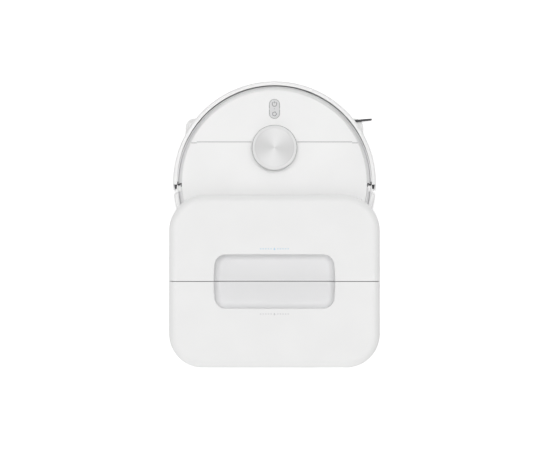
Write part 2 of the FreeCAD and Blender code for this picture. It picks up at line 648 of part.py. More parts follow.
def sector(half_angle, z0, z1, side):
    """An upright wedge from the robot's centre towards -Y (side -1) or +Y (side 1)."""
    reach = 2 * ROBOT_RADIUS
    x = reach * math.tan(math.radians(half_angle))
    y = ROBOT_Y + side * reach
    points = [V(0, ROBOT_Y, z0), V(x, y, z0), V(-x, y, z0), V(0, ROBOT_Y, z0)]
    return Part.Face(Part.makePolygon(points)).extrude(V(0, 0, z1 - z0))


def garage():
    """The garage's round wall and ceiling, its signal window and the sprung charging contacts."""
    duct_y = bag_bay()
    outer = LINER_RADIUS + LINER_WALL
    wall = liner_piece(LINER_RADIUS, outer, PLATE_TOP, CEILING)
    ceiling = station_block(HOUSING_WALL + SEAT_GAP, CEILING, MECHANICS_FLOOR)
    liner = fuse(wall, ceiling).cut(disc(DUCT_RADIUS - DUCT_WALL, CEILING, MECHANICS_FLOOR, 0, duct_y))
    half_h = WINDOW_HEIGHT / 2
    window = liner_piece(LINER_RADIUS, outer, WINDOW_Z - half_h, WINDOW_Z + half_h)
    window = window.common(sector(WINDOW_HALF_ANGLE, 0, CEILING, 1))
    liner = liner.cut(window)
    save("signal_window", window)

    low, high = CONTACT_Z - CONTACT_HEIGHT / 2, CONTACT_Z + CONTACT_HEIGHT / 2
    back = ROBOT_Y + outer + FIT_GAP + CONTACT_TRAVEL
    carrier = box(-CONTACT_SPACING / 2 - CONTACT_WIDTH, CONTACT_SPACING / 2 + CONTACT_WIDTH,
                  back, back + CARRIER_THICKNESS, low, high)
    for side in (-1, 1):
        x = side * CONTACT_SPACING / 2
        face = ROBOT_Y + math.sqrt(ROBOT_RADIUS ** 2 - (abs(x) - CONTACT_WIDTH / 2) ** 2) + FIT_GAP
        nose = box(x - CONTACT_WIDTH / 2, x + CONTACT_WIDTH / 2, face, back + 1, low, high)
        carrier = carrier.fuse(nose)
        liner = liner.cut(box(x - CONTACT_WIDTH / 2 - FIT_GAP, x + CONTACT_WIDTH / 2 + FIT_GAP,
                              ROBOT_Y, STATION_REAR, low - FIT_GAP, high + FIT_GAP))
    save("charging_contacts", carrier.removeSplitter())
    stop = back + CARRIER_THICKNESS + CONTACT_TRAVEL + FIT_GAP
    stop_half = CONTACT_SPACING / 2 + CONTACT_WIDTH
    bracket = box(-stop_half, stop_half, stop, stop + LINER_WALL, PLATE_TOP, CEILING)
    save("garage_liner", fuse(liner, bracket))


def plate_outline(z0, z1):
    """Ramp tongue in front and the floor inside the housing behind, as one outline."""
    half = PLATE_WIDTH / 2
    y_front = STATION_FRONT - PLATE_REACH
    tongue = box(-half, half, y_front, garage_mouth_y() + 1, z0, z1)
    front = lambda e: is_upright(e) and e.Vertexes[0].Point.y < y_front + 1
    tongue = round_edges(tongue, PLATE_CORNER, front)
    inside = station_block(HOUSING_WALL + SEAT_GAP, z0, z1)
    inside = inside.common(box(-HALF_WIDTH, HALF_WIDTH, garage_mouth_y(), STATION_REAR, z0, z1))
    return fuse(tongue, inside)


def feet_places():
    x_tongue, x_body = PLATE_WIDTH / 2 - FOOT_INSET, HALF_WIDTH - FOOT_INSET
    front = STATION_FRONT - PLATE_REACH + FOOT_FRONT_INSET
    rows = ((x_tongue, front), (x_body, SEAM_Y), (x_body, STATION_REAR - FOOT_REAR_INSET))
    return [(side * x, y) for x, y in rows for side in (-1, 1)]


def tray_outline(grow, z0, z1):
    half, front = TRAY_HALF_WIDTH + grow, TRAY_REAR - TRAY_LENGTH - grow
    pan = rounded_block(-half, half, front, TRAY_REAR + grow, z0, z1, TRAY_CORNER + grow)
    return pan.common(disc(LINER_RADIUS - TRAY_WALL_GAP + grow, z0, z1, 0, ROBOT_Y))


def base_plate():
    """Ramp plate with foot recesses, the wash tray's opening and the ribbed tray in it."""
    plate = plate_outline(PLATE_BOTTOM, PLATE_TOP)
    y_front = STATION_FRONT - PLATE_REACH
    drop = PLATE_THICKNESS - RAMP_EDGE
    points = [(y_front - 1, PLATE_TOP - drop * (1 + 1 / RAMP_LENGTH)), (y_front + RAMP_LENGTH, PLATE_TOP),
              (y_front + RAMP_LENGTH, PLATE_TOP + 1), (y_front - 1, PLATE_TOP + 1)]
    corners = [V(-STATION_WIDTH, y, z) for y, z in points]
    wedge = Part.Face(Part.makePolygon(corners + corners[:1])).extrude(V(2 * STATION_WIDTH, 0, 0))
    plate = plate.cut(wedge)
    for x, y in feet_places():
        plate = plate.cut(disc(FOOT_RADIUS, PLATE_BOTTOM, PLATE_BOTTOM + FOOT_RECESS, x, y))
    plate = plate.cut(tray_outline(FIT_GAP, PLATE_BOTTOM - 1, PLATE_TOP + 1))
    bottom = PLATE_BOTTOM + TRAY_LEDGE_THICKNESS
    shelf = tray_outline(FIT_GAP, PLATE_BOTTOM, bottom).cut(tray_outline(-TRAY_LEDGE, PLATE_BOTTOM, bottom))
    plate = plate.fuse(shelf)
    for x, y in plate_screws():
        plate = plate.cut(disc(SCREW_HEAD_RADIUS, PLATE_BOTTOM, PLATE_BOTTOM + SCREW_HEAD_HEIGHT, x, y))
        plate = plate.cut(disc(SCREW_SHANK_RADIUS, PLATE_BOTTOM, PLATE_TOP, x, y))
    save("base_plate", plate.removeSplitter())
    save("rubber_feet", *[disc(FOOT_RADIUS, 0, FOOT_HEIGHT, x, y) for x, y in feet_places()])

    tray = tray_outline(0, bottom, TRAY_TOP)
    tray = tray.cut(tray_outline(-TRAY_RIM_WIDTH, bottom + TRAY_THICKNESS, TRAY_TOP))
    half = TRAY_HALF_WIDTH - TRAY_RIB_MARGIN
    for index in range(int((TRAY_LENGTH - TRAY_RIB_MARGIN) / TRAY_RIB_PITCH)):
        y = TRAY_REAR - TRAY_RIB_MARGIN - index * TRAY_RIB_PITCH
        rib = box(-half, half, y - TRAY_RIB_WIDTH / 2, y + TRAY_RIB_WIDTH / 2,
                  bottom + TRAY_THICKNESS / 2, TRAY_TOP)
        tray = tray.fuse(rib.common(tray_outline(-TRAY_RIB_INSET, bottom, TRAY_TOP)))
    save("wash_tray", tray.removeSplitter())


def plate_screws():
    """Screws up through the plate, behind the garage wall and near the rear corners."""
    rear = STATION_REAR - PLATE_SCREW_INSET
    places = ((PLATE_SCREW_SPACING / 2, rear), (REAR_FLAT, rear), (HALF_WIDTH - PLATE_SCREW_EDGE,
                                                                   SEAM_Y + PLATE_SCREW_STEP))
    return [(side * x, y) for x, y in places for side in (-1, 1)]


def dock_screws():
    """Screws that hold the plate; each shank ends in the plate's own boss."""
    screws = []
    for x, y in plate_screws():
        head = disc(SCREW_HEAD_RADIUS, PLATE_BOTTOM, PLATE_BOTTOM + SCREW_HEAD_HEIGHT, x, y)
        shank = disc(SCREW_SHANK_RADIUS, PLATE_BOTTOM, PLATE_TOP, x, y)
        screws.append(fuse(head, shank))
    save("dock_screws", *screws)


def blower():
    """Dust suction blower on the mechanics floor: case, motor post with a shaft, impeller."""
    x, y, z0 = BLOWER_X, BLOWER_Y, MECHANICS_FLOOR
    z1 = z0 + BLOWER_HEIGHT
    room = disc(BLOWER_RADIUS - BLOWER_WALL, z0 + BLOWER_WALL, z1 - BLOWER_WALL, x, y)
    case = disc(BLOWER_RADIUS, z0, z1, x, y).cut(room)
    wheel_top = z1 - BLOWER_WALL - WHEEL_TOP_GAP
    wheel_low = wheel_top - BLOWER_IMPELLER_HEIGHT
    post = disc(BLOWER_POST_RADIUS, z0, wheel_low - POST_GAP, x, y)
    shaft = disc(ARM_PIN_RADIUS, z0, wheel_top - SHAFT_STOP, x, y)
    case = case.cut(disc(BLOWER_INTAKE_RADIUS, z1 - BLOWER_WALL, z1, x, y))
    half = OUTLET_WIDTH / 2
    outlet = box(x - half, x + half, y + BLOWER_IMPELLER_RADIUS / 2, y + BLOWER_RADIUS, wheel_low, wheel_top)
    case = case.cut(outlet)
    save("blower_case", fuse(case, post, shaft))
    save("blower_impeller", bladed_wheel(BLOWER_IMPELLER_RADIUS, wheel_low, wheel_top, x, y, ARM_PIN_RADIUS))


def pumps_and_pipes():
    """One pump under each tank, on the mechanics floor, with a pipe up to the tank's valve."""
    pumps = []
    for side in (-1, 1):
        x, y = tank_port(side)
        top = MECHANICS_FLOOR + PUMP_HEIGHT
        body = disc(PUMP_RADIUS, MECHANICS_FLOOR, top, x, y)
        mid = top - PUMP_RADIUS
        outlet = rod(PUMP_RADIUS / 2, (x, y, mid), (x, y + side * PUMP_OUTLET_LENGTH, mid))
        pumps.append(fuse(body, outlet))
        pumps.append(tube(PIPE_RADIUS, PIPE_RADIUS - PIPE_WALL, top, SHELF_BOTTOM, x, y))
    save("water_pumps", *pumps)


def electrics():
    """Power supply, control board on stand-offs from the rear wall, and the mains inlet."""
    width, depth, height = SUPPLY_SIZE
    y1 = STATION_REAR - HOUSING_WALL - SUPPLY_GAP
    supply = rounded_block(SUPPLY_X - width / 2, SUPPLY_X + width / 2, y1 - depth, y1,
                           MECHANICS_FLOOR, MECHANICS_FLOOR + height, SUPPLY_ROUNDING)
    save("power_supply", supply)
    width, thick, height = BOARD_SIZE
    wall = STATION_REAR - HOUSING_WALL
    y0 = wall - BOARD_STANDOFF - thick
    x0, z0 = BOARD_X - width / 2, BOARD_Z - height / 2
    board = box(x0, x0 + width, y0, y0 + thick, z0, z0 + height)
    for fx, fz, size in ((0.3, 0.6, 22.0), (0.65, 0.35, 16.0), (0.8, 0.75, 12.0)):
        cx, cz = x0 + fx * width, z0 + fz * height
        half = size / 2
        board = board.fuse(box(cx - half, cx + half, y0 - CHIP_HEIGHT, y0, cz - half, cz + half))
    inner_x, outer_x = x0 + BOARD_POST_INSET, x0 + width - BOARD_OVERHANG - BOARD_POST_RADIUS
    posts = [rod(BOARD_POST_RADIUS, (x, y0 + thick, z), (x, wall, z)) for x in (inner_x, outer_x)
             for z in (z0 + BOARD_POST_INSET, z0 + height - BOARD_POST_INSET)]
    save("dock_board", fuse(board, *posts))
    back = STATION_REAR - INLET_DEPTH
    block = inlet_block(FIT_GAP, back, STATION_REAR - INLET_SETBACK)
    socket = inlet_block(INLET_WALL, back + INLET_WALL, STATION_REAR)
    wall_inside = STATION_REAR - HOUSING_WALL
    flange = inlet_block(-INLET_FLANGE, wall_inside - INLET_FLANGE, wall_inside)
    block = fuse(block, flange).cut(socket)
    for side in (-1, 1):
        x = INLET_X + side * INLET_PIN_SPACING / 2
        start, tip = (x, back + INLET_WALL / 2, INLET_Z), (x, STATION_REAR - INLET_PIN_SETBACK, INLET_Z)
        block = block.fuse(rod(INLET_PIN_RADIUS, start, tip))
    save("power_inlet", block.removeSplitter())


def inlet_block(gap, y0, y1):
    half_w, half_h = INLET_WIDTH / 2 - gap, INLET_HEIGHT / 2 - gap
    block = box(INLET_X - half_w, INLET_X + half_w, y0, y1, INLET_Z - half_h, INLET_Z + half_h)
    along_y = lambda e: abs(e.Vertexes[0].Point.y - e.Vertexes[-1].Point.y) > 1e-6
    return round_edges(block, INLET_CORNER, along_y)


# ---------------------------------------------------------------- robot: body
def robot_outline(inset, z0, z1, shoulder=0.0):
    """The body's plan: round, and notched beside the bumper's ends."""
    body = round_edges(disc(BODY_RADIUS - inset, z0, z1, 0, BODY_Y), shoulder, lies_at(z1))
    y0, y1 = ROBOT_Y + BUMPER_END + 1 - inset, ROBOT_Y + SKIRT_START - 1 + inset
    near, far = NOTCH_HALF_WIDTH - inset, 2 * ROBOT_RADIUS
    return body.cut(box(near, far, y0, y1, z0, z1)).cut(box(-far, -near, y0, y1, z0, z1))


def bumper_guides():
    """A rib on each side of the body that the bumper slides along."""
    near = BODY_RADIUS - BODY_WALL
    rib = tube(RING_INNER - FIT_GAP, near, GUIDE_BOTTOM, GUIDE_TOP, 0, ROBOT_Y)
    return rib.common(box(-RING_INNER, RING_INNER, ROBOT_Y - GUIDE_LENGTH, ROBOT_Y, GUIDE_BOTTOM, GUIDE_TOP))


def mop_bay(grow, z0, z1):
    """The room for both mops under the body, open to the rear and the sides."""
    r = MOP_RADIUS + MOP_BAY_GAP + grow
    far = 2 * ROBOT_RADIUS
    discs = [disc(r, z0, z1, side * MOP_SPACING / 2, MOP_Y) for side in (-1, 1)]
    middle = box(-MOP_SPACING / 2, MOP_SPACING / 2, MOP_Y - r / 2, MOP_Y + 1, z0, z1)
    return fuse(box(-far, far, MOP_Y, ROBOT_Y + far, z0, z1), middle, *discs)


def robot_screw_places():
    front = ROLLER_Y - BRUSH_HOUSING_DEPTH / 2 - SCREW_GAP
    beside = BATTERY_SIZE[0] / 2 + SCREW_SIDE_GAP
    places = ((SCREW_FRONT_X, front), (beside, ROBOT_Y - SCREW_REAR_AHEAD))
    return [(side * x, y) for x, y in places for side in (-1, 1)]


def chassis():
    """Lower tray of the robot, with its wheel openings, caster well, lugs and screw bosses."""
    tray = robot_outline(0, UNDERSIDE, CHASSIS_TOP).cut(mop_bay(0, UNDERSIDE, MOP_BAY_TOP))
    room = robot_outline(BODY_WALL, FLOOR_INSIDE, CHASSIS_TOP)
    tray = tray.cut(room.cut(mop_bay(BODY_WALL, UNDERSIDE, MOP_BAY_TOP + BODY_WALL)))
    half_w = WHEEL_WIDTH / 2 + WHEEL_GAP
    half_l = WHEEL_RADIUS + WHEEL_GAP
    tunnel_x, tunnel_y = BRUSH_HOUSING_LENGTH / 2 + FIT_GAP, BRUSH_HOUSING_DEPTH / 2 + FIT_GAP
    tray = tray.cut(box(-tunnel_x, tunnel_x, ROLLER_Y - tunnel_y, ROLLER_Y + tunnel_y,
                        UNDERSIDE, FLOOR_INSIDE))
    well_top = UNDERSIDE + CASTER_WELL_DEPTH
    cup = disc(CASTER_WELL_RADIUS + BODY_WALL, UNDERSIDE, well_top + BODY_WALL, 0, CASTER_Y)
    tray = tray.fuse(cup).cut(disc(CASTER_WELL_RADIUS, UNDERSIDE, well_top, 0, CASTER_Y))
    tray = tray.cut(disc(CASTER_STEM_RADIUS + SHAFT_CLEARANCE, well_top, CHASSIS_TOP, 0, CASTER_Y))
    for side in (-1, 1):
        x = side * WHEEL_X
        tray = tray.cut(box(x - half_w, x + half_w, ROBOT_Y - half_l, ROBOT_Y + half_l,
                            UNDERSIDE, FLOOR_INSIDE))
        near, far = sorted((side * arm_inner_x(), side * (arm_inner_x() - LUG_THICKNESS)))
        gap = FIT_GAP if side > 0 else -FIT_GAP
        lug = box(near - gap, far - gap, ARM_PIVOT_Y - LUG_REACH, ARM_PIVOT_Y + LUG_REACH,
                  UNDERSIDE, WHEEL_Z + LUG_REACH)
        bore = rod(ARM_PIN_RADIUS + SHAFT_CLEARANCE, (near - LUG_THICKNESS, ARM_PIVOT_Y, WHEEL_Z),
                   (far + LUG_THICKNESS, ARM_PIVOT_Y, WHEEL_Z))
        tray = tray.fuse(lug).cut(bore)
        shaft = MOP_SHAFT_RADIUS + SHAFT_CLEARANCE
        tray = tray.cut(disc(shaft, MOP_BAY_TOP, MOP_BAY_TOP + BODY_WALL, side * MOP_SPACING / 2, MOP_Y))
    tray = tray.cut(disc(SIDE_BRUSH_SHAFT_RADIUS + SHAFT_CLEARANCE, UNDERSIDE, FLOOR_INSIDE,
                         SIDE_BRUSH_X, SIDE_BRUSH_Y))
    for x, y in robot_screw_places():
        boss = SCREW_HEAD_RADIUS + SCREW_BOSS_WALL
        tray = tray.fuse(disc(boss, UNDERSIDE, UNDERSIDE + SCREW_LENGTH + 1, x, y))
        tray = tray.cut(disc(SCREW_HEAD_RADIUS, UNDERSIDE, UNDERSIDE + SCREW_HEAD_HEIGHT, x, y))
        tray = tray.cut(disc(SCREW_SHANK_RADIUS, UNDERSIDE, UNDERSIDE + SCREW_LENGTH, x, y))
    save("robot_chassis", tray.removeSplitter())
    screws = []
    for x, y in robot_screw_places():
        head = disc(SCREW_HEAD_RADIUS, UNDERSIDE, UNDERSIDE + SCREW_HEAD_HEIGHT, x, y)
        screws.append(fuse(head, disc(SCREW_SHANK_RADIUS, UNDERSIDE, UNDERSIDE + SCREW_LENGTH, x, y)))
    save("robot_screws", *screws)


def upper_shell():
    """Upper shell: rounded shoulder, deck with the bin's opening, button opening with two axle lugs."""
    shell = robot_outline(0, CHASSIS_TOP, DECK_TOP, SHOULDER)
    shell = shell.cut(robot_outline(BODY_WALL, CHASSIS_TOP, DECK_TOP - BODY_WALL - SHOULDER / 2))
    shell = shell.cut(robot_outline(SHOULDER, CHASSIS_TOP, DECK_TOP - BODY_WALL)).fuse(bumper_guides())
    half = BIN_WIDTH / 2 + 1
    shell = shell.cut(rounded_block(-half, half, BIN_FRONT_Y - 1, BIN_REAR_Y + 1,
                                    CHASSIS_TOP, DECK_TOP, BIN_CORNER))
    lug_bottom = button_axle_z() - BUTTON_LUG / 2 - 1
    edge, half = BUTTON_WIDTH / 2 + BUTTON_GAP, BUTTON_LUG / 2
    for side in (-1, 1):
        a, b = sorted((side * edge, side * (edge + BUTTON_LUG)))
        shell = shell.fuse(box(a, b, BUTTON_Y - half, BUTTON_Y + half, lug_bottom, DECK_TOP))
    shell = shell.cut(button_hole(DECK_TOP - BODY_WALL, DECK_TOP))
    reach = BUTTON_WIDTH / 2 + BUTTON_GAP + BUTTON_LUG + 1
    z = button_axle_z()
    shell = shell.cut(rod(BUTTON_AXLE_RADIUS + SHAFT_CLEARANCE, (-reach, BUTTON_Y, z), (reach, BUTTON_Y, z)))
    save("robot_shell", shell.removeSplitter())


def button_hole(z0, z1):
    return pill(BUTTON_LENGTH + 2 * BUTTON_GAP, BUTTON_WIDTH + 2 * BUTTON_GAP, z0, z1, BUTTON_Y)


def button_axle_z():
    return DECK_TOP - BUTTON_LUG / 2


def button():
    """One rocker for both functions, on its own axle under the cover."""
    top = COVER_TOP + BUTTON_PROUD
    cap = pill(BUTTON_LENGTH, BUTTON_WIDTH, DECK_TOP + BUTTON_TRAVEL, top, BUTTON_Y)
    cap = round_edges(cap, BUTTON_ROUNDING, lies_at(top))
    half = BUTTON_WIDTH / 2 - 1
    thick = BUTTON_LUG / 3
    stem = box(-half, half, BUTTON_Y - thick, BUTTON_Y + thick, button_axle_z() - thick, DECK_TOP + 1)
    reach = BUTTON_WIDTH / 2 + BUTTON_GAP + BUTTON_LUG - 1
    z = button_axle_z()
    axle = rod(BUTTON_AXLE_RADIUS, (-reach, BUTTON_Y, z), (reach, BUTTON_Y, z))
    save("button_rocker", fuse(cap, stem, axle))


def covers():
    """Top cover in two plates; the split line jogs rearward at both outer ends."""
    plate = disc(COVER_RADIUS, DECK_TOP, COVER_TOP, 0, ROBOT_Y)
    plate = round_edges(plate, COVER_ROUNDING, lies_at(COVER_TOP))
    plate = plate.cut(disc(TURRET_RADIUS + BUTTON_GAP, DECK_TOP, COVER_TOP, 0, TURRET_Y))
    plate = plate.cut(button_hole(DECK_TOP, COVER_TOP))
    split = COVER_SPLIT_Y
    jog_x = math.sqrt(COVER_RADIUS ** 2 - (ROBOT_Y - split) ** 2) - COVER_STEP_LENGTH
    far = 2 * ROBOT_RADIUS
    half_gap = COVER_SPLIT_GAP / 2
    ahead = box(-far, far, split - far, split - half_gap, DECK_TOP, COVER_TOP)
    behind = box(-far, far, split + half_gap, split + far, DECK_TOP, COVER_TOP)
    for a, b in ((-far, -jog_x), (jog_x, far)):
        ahead = ahead.fuse(box(a, b, split - far, split + COVER_STEP - half_gap, DECK_TOP, COVER_TOP))
        behind = behind.cut(box(a, b, split, split + COVER_STEP + half_gap, DECK_TOP, COVER_TOP))
    save("front_cover", plate.common(ahead).removeSplitter())
    save("rear_cover", plate.common(behind).removeSplitter())


def ring(r0, r1, z0, z1, y0, y1):
    """The part of a ring about the robot's centre that lies between y0 and y1."""
    far = 2 * ROBOT_RADIUS
    return tube(r1, r0, z0, z1, 0, ROBOT_Y).common(box(-far, far, y0, y1, z0, z1))


def bumper():
    """Front bumper ring with a thin prong behind each end, and its dark sensor window."""
    far = 2 * ROBOT_RADIUS
    end = ROBOT_Y + BUMPER_END
    shell = ring(RING_INNER, ROBOT_RADIUS, BUMPER_BOTTOM, RING_TOP, ROBOT_Y - far, end)
    outer_top = lambda e: lies_at(RING_TOP)(e) and e.Length > ROBOT_RADIUS \
        and abs(e.Vertexes[0].Point.sub(V(0, ROBOT_Y, RING_TOP)).Length - ROBOT_RADIUS) < 1e-3
    shell = round_edges(shell, RING_ROUNDING, outer_top)
    prong = ring(ROBOT_RADIUS - PRONG_WIDTH, ROBOT_RADIUS, PRONG_BOTTOM, PRONG_TOP,
                 end - 1, ROBOT_Y + BUMPER_PRONG)
    low, high = BUMPER_WINDOW_Z - BUMPER_WINDOW_HEIGHT / 2, BUMPER_WINDOW_Z + BUMPER_WINDOW_HEIGHT / 2
    band = ring(ROBOT_RADIUS - WINDOW_DEPTH, ROBOT_RADIUS + 1, low, high, ROBOT_Y - far, ROBOT_Y)
    window = band.common(sector(BUMPER_WINDOW_ANGLE, low, high, -1))
    save("bumper", shell.fuse(prong).cut(window).removeSplitter())
    save("bumper_window", window.common(disc(ROBOT_RADIUS, low, high, 0, ROBOT_Y)))


def skirt():
    """Rear skirt with rounded front corners, and the two charging pads let into its back."""
    far = 2 * ROBOT_RADIUS
    start = ROBOT_Y + SKIRT_START
    shell = ring(RING_INNER, ROBOT_RADIUS, SKIRT_BOTTOM, RING_TOP, start, ROBOT_Y + far)
    corner = lambda e: is_upright(e) and abs(e.Vertexes[0].Point.y - start) < 1e-3 \
        and abs(e.Vertexes[0].Point.sub(V(0, ROBOT_Y, e.Vertexes[0].Point.z)).Length - ROBOT_RADIUS) < 1e-3
    shell = round_edges(shell, SKIRT_CORNER, corner)
    outer_top = lambda e: lies_at(RING_TOP)(e) and e.Length > 2 * ROBOT_RADIUS and \
        abs(e.Vertexes[0].Point.sub(V(0, ROBOT_Y, RING_TOP)).Length - ROBOT_RADIUS) < SKIRT_CORNER / 2
    shell = round_edges(shell, RING_ROUNDING, outer_top)
    pads = []
    for side in (-1, 1):
        x = side * CONTACT_SPACING / 2
        half_w, half_h = CONTACT_WIDTH / 2 + 2, CONTACT_HEIGHT / 2 + 2
        area = box(x - half_w, x + half_w, ROBOT_Y, ROBOT_Y + far, CONTACT_Z - half_h, CONTACT_Z + half_h)
        pad = ring(ROBOT_RADIUS - WINDOW_DEPTH, ROBOT_RADIUS, SKIRT_BOTTOM, RING_TOP, ROBOT_Y, ROBOT_Y + far)
        pads.append(pad.common(area))
        shell = shell.cut(pads[-1])
    save("rear_skirt", shell.removeSplitter())
    save("charging_pads", *pads)


def turret():
    """Lidar turret: fixed base with three posts, cap with a thin metal inlay, spinning rotor between."""
    cap_bottom = TURRET_TOP - TURRET_CAP_THICKNESS
    base_top = DECK_TOP + TURRET_BASE_HEIGHT
    floor = DECK_TOP + TURRET_FLOOR
    wall = tube(TURRET_RADIUS, TURRET_RADIUS - TURRET_WALL, DECK_TOP, base_top, 0, TURRET_Y)
    base = fuse(wall, disc(TURRET_RADIUS, DECK_TOP, floor, 0, TURRET_Y),
                disc(ROTOR_PIN_RADIUS, DECK_TOP, base_top + TURRET_FLOOR, 0, TURRET_Y))
    band = tube(TURRET_RADIUS, TURRET_RADIUS - TURRET_WALL, base_top - 1, cap_bottom, 0, TURRET_Y)
    reach = 2 * TURRET_RADIUS
    x = reach * math.tan(math.radians(TURRET_POST_ANGLE / 2))
    for index in range(3):
        points = [V(0, TURRET_Y, 0), V(x, TURRET_Y + reach, 0), V(-x, TURRET_Y + reach, 0), V(0, TURRET_Y, 0)]
        wedge = Part.Face(Part.makePolygon(points)).extrude(V(0, 0, TURRET_TOP))
        wedge.rotate(V(0, TURRET_Y, 0), V(0, 0, 1), 120.0 * index)
        base = base.fuse(band.common(wedge))
    save("turret_base", base.removeSplitter())
    cap = disc(TURRET_RADIUS, cap_bottom, TURRET_TOP, 0, TURRET_Y)
    cap = round_edges(cap, TURRET_ROUNDING, lies_at(TURRET_TOP))
    cap = cap.cut(disc(INLAY_RADIUS + INLAY_GAP, TURRET_TOP - INLAY_THICKNESS, TURRET_TOP, 0, TURRET_Y))
    save("turret_cap", cap)
    save("turret_inlay", disc(INLAY_RADIUS, TURRET_TOP - INLAY_THICKNESS, TURRET_TOP, 0, TURRET_Y))
    rotor = disc(ROTOR_RADIUS, floor + ROTOR_GAP, cap_bottom - ROTOR_GAP, 0, TURRET_Y)
    bore_top = base_top + TURRET_FLOOR + ROTOR_GAP
    rotor = rotor.cut(disc(ROTOR_PIN_RADIUS + SHAFT_CLEARANCE, floor, bore_top, 0, TURRET_Y))
    front = TURRET_Y - ROTOR_RADIUS
    for side in (-1, 1):
        x = side * ROTOR_RADIUS / 3
        rotor = rotor.cut(rod(EYE_RADIUS, (x, front, bore_top), (x, front + EYE_DEPTH, bore_top)))
    save("lidar_rotor", rotor)


# ---------------------------------------------------------------- robot: inside
def bin_bottom():
    return MOP_BAY_TOP + BODY_WALL + MOP_DRIVE_SIZE[2] + FIT_GAP


def insides():
    """Battery, board, dust bin, mop drive: everything that stands still inside the robot."""
    width, length, height = BATTERY_SIZE
    y = ROBOT_Y - BATTERY_AHEAD
    save("battery", rounded_block(-width / 2, width / 2, y - length / 2, y + length / 2,
                                  FLOOR_INSIDE, FLOOR_INSIDE + height, BATTERY_ROUNDING))
    width, length, height = MOP_DRIVE_SIZE
    z = MOP_BAY_TOP + BODY_WALL
    drive = rounded_block(-width / 2, width / 2, MOP_Y - length / 2, MOP_Y + length / 2, z, z + height,
                          MOP_DRIVE_ROUNDING)
    bore = MOP_SHAFT_RADIUS + SHAFT_CLEARANCE
    for side in (-1, 1):
        drive = drive.cut(disc(bore, z, mop_shaft_top() + 1, side * MOP_SPACING / 2, MOP_Y))
    save("gear_motors", drive, side_brush_motor())
    half, z, w = BIN_WIDTH / 2, bin_bottom(), BIN_WALL
    middle, top = z + BIN_HEIGHT / 2, z + BIN_HEIGHT
    outer = rounded_block(-half, half, BIN_FRONT_Y, BIN_REAR_Y, z, top, BIN_CORNER)
    inner = rounded_block(-half + w, half - w, BIN_FRONT_Y + w, BIN_REAR_Y - w,
                          z + w, top - w, BIN_CORNER - w)
    inlet = rod(BIN_INLET_RADIUS, (0, BIN_FRONT_Y - 1, middle), (0, BIN_FRONT_Y + w + 1, middle))
    save("dust_bin", outer.cut(inner).cut(inlet))
    width, length, thick = ROBOT_BOARD_SIZE
    z = BRUSH_HOUSING_TOP + BOARD_POST_HEIGHT
    board = box(-width / 2, width / 2, ROLLER_Y - length / 2, ROLLER_Y + length / 2, z, z + thick)
    for fx, fy, size in ((-0.25, 0.1, 20.0), (0.2, -0.15, 16.0), (0.36, 0.2, 10.0)):
        cx, cy = fx * width, ROLLER_Y + fy * length
        board = board.fuse(box(cx - size / 2, cx + size / 2, cy - size / 2, cy + size / 2,
                               z + thick, z + thick + CHIP_HEIGHT))
    save("robot_board", board.removeSplitter())


def robot_fan():
    """Suction fan standing on the battery: case with a motor post, and its impeller."""
    y = ROBOT_Y - FAN_AHEAD
    z0 = FLOOR_INSIDE + BATTERY_SIZE[2] + FIT_GAP
    z1 = z0 + FAN_HEIGHT
    wheel_top = z1 - 2 * FAN_WALL
    wheel_low = wheel_top - FAN_IMPELLER_HEIGHT
    case = disc(FAN_RADIUS, z0, z1, 0, y).cut(disc(FAN_RADIUS - FAN_WALL, z0 + FAN_WALL, z1 - FAN_WALL, 0, y))
    case = case.cut(disc(FAN_INTAKE_RADIUS, z1 - FAN_WALL, z1, 0, y))
    half = FAN_OUTLET_WIDTH / 2
    case = case.cut(box(-half, half, y + FAN_RADIUS / 2, y + FAN_RADIUS, wheel_low, wheel_top))
    post = disc(FAN_POST_RADIUS, z0, wheel_low - POST_GAP, 0, y)
    shaft = disc(SIDE_BRUSH_SHAFT_RADIUS, z0, wheel_top - SHAFT_STOP, 0, y)
    save("fan_case", fuse(case, post, shaft))
    wheel = bladed_wheel(FAN_IMPELLER_RADIUS, wheel_low, wheel_top, 0, y, SIDE_BRUSH_SHAFT_RADIUS)
    save("fan_impeller", wheel)


# ---------------------------------------------------------------- robot: what turns
def roller_rod(radius, half_length):
    """A rod along the main roller's axis."""
    return rod(radius, (-half_length, ROLLER_Y, ROLLER_Z), (half_length, ROLLER_Y, ROLLER_Z))


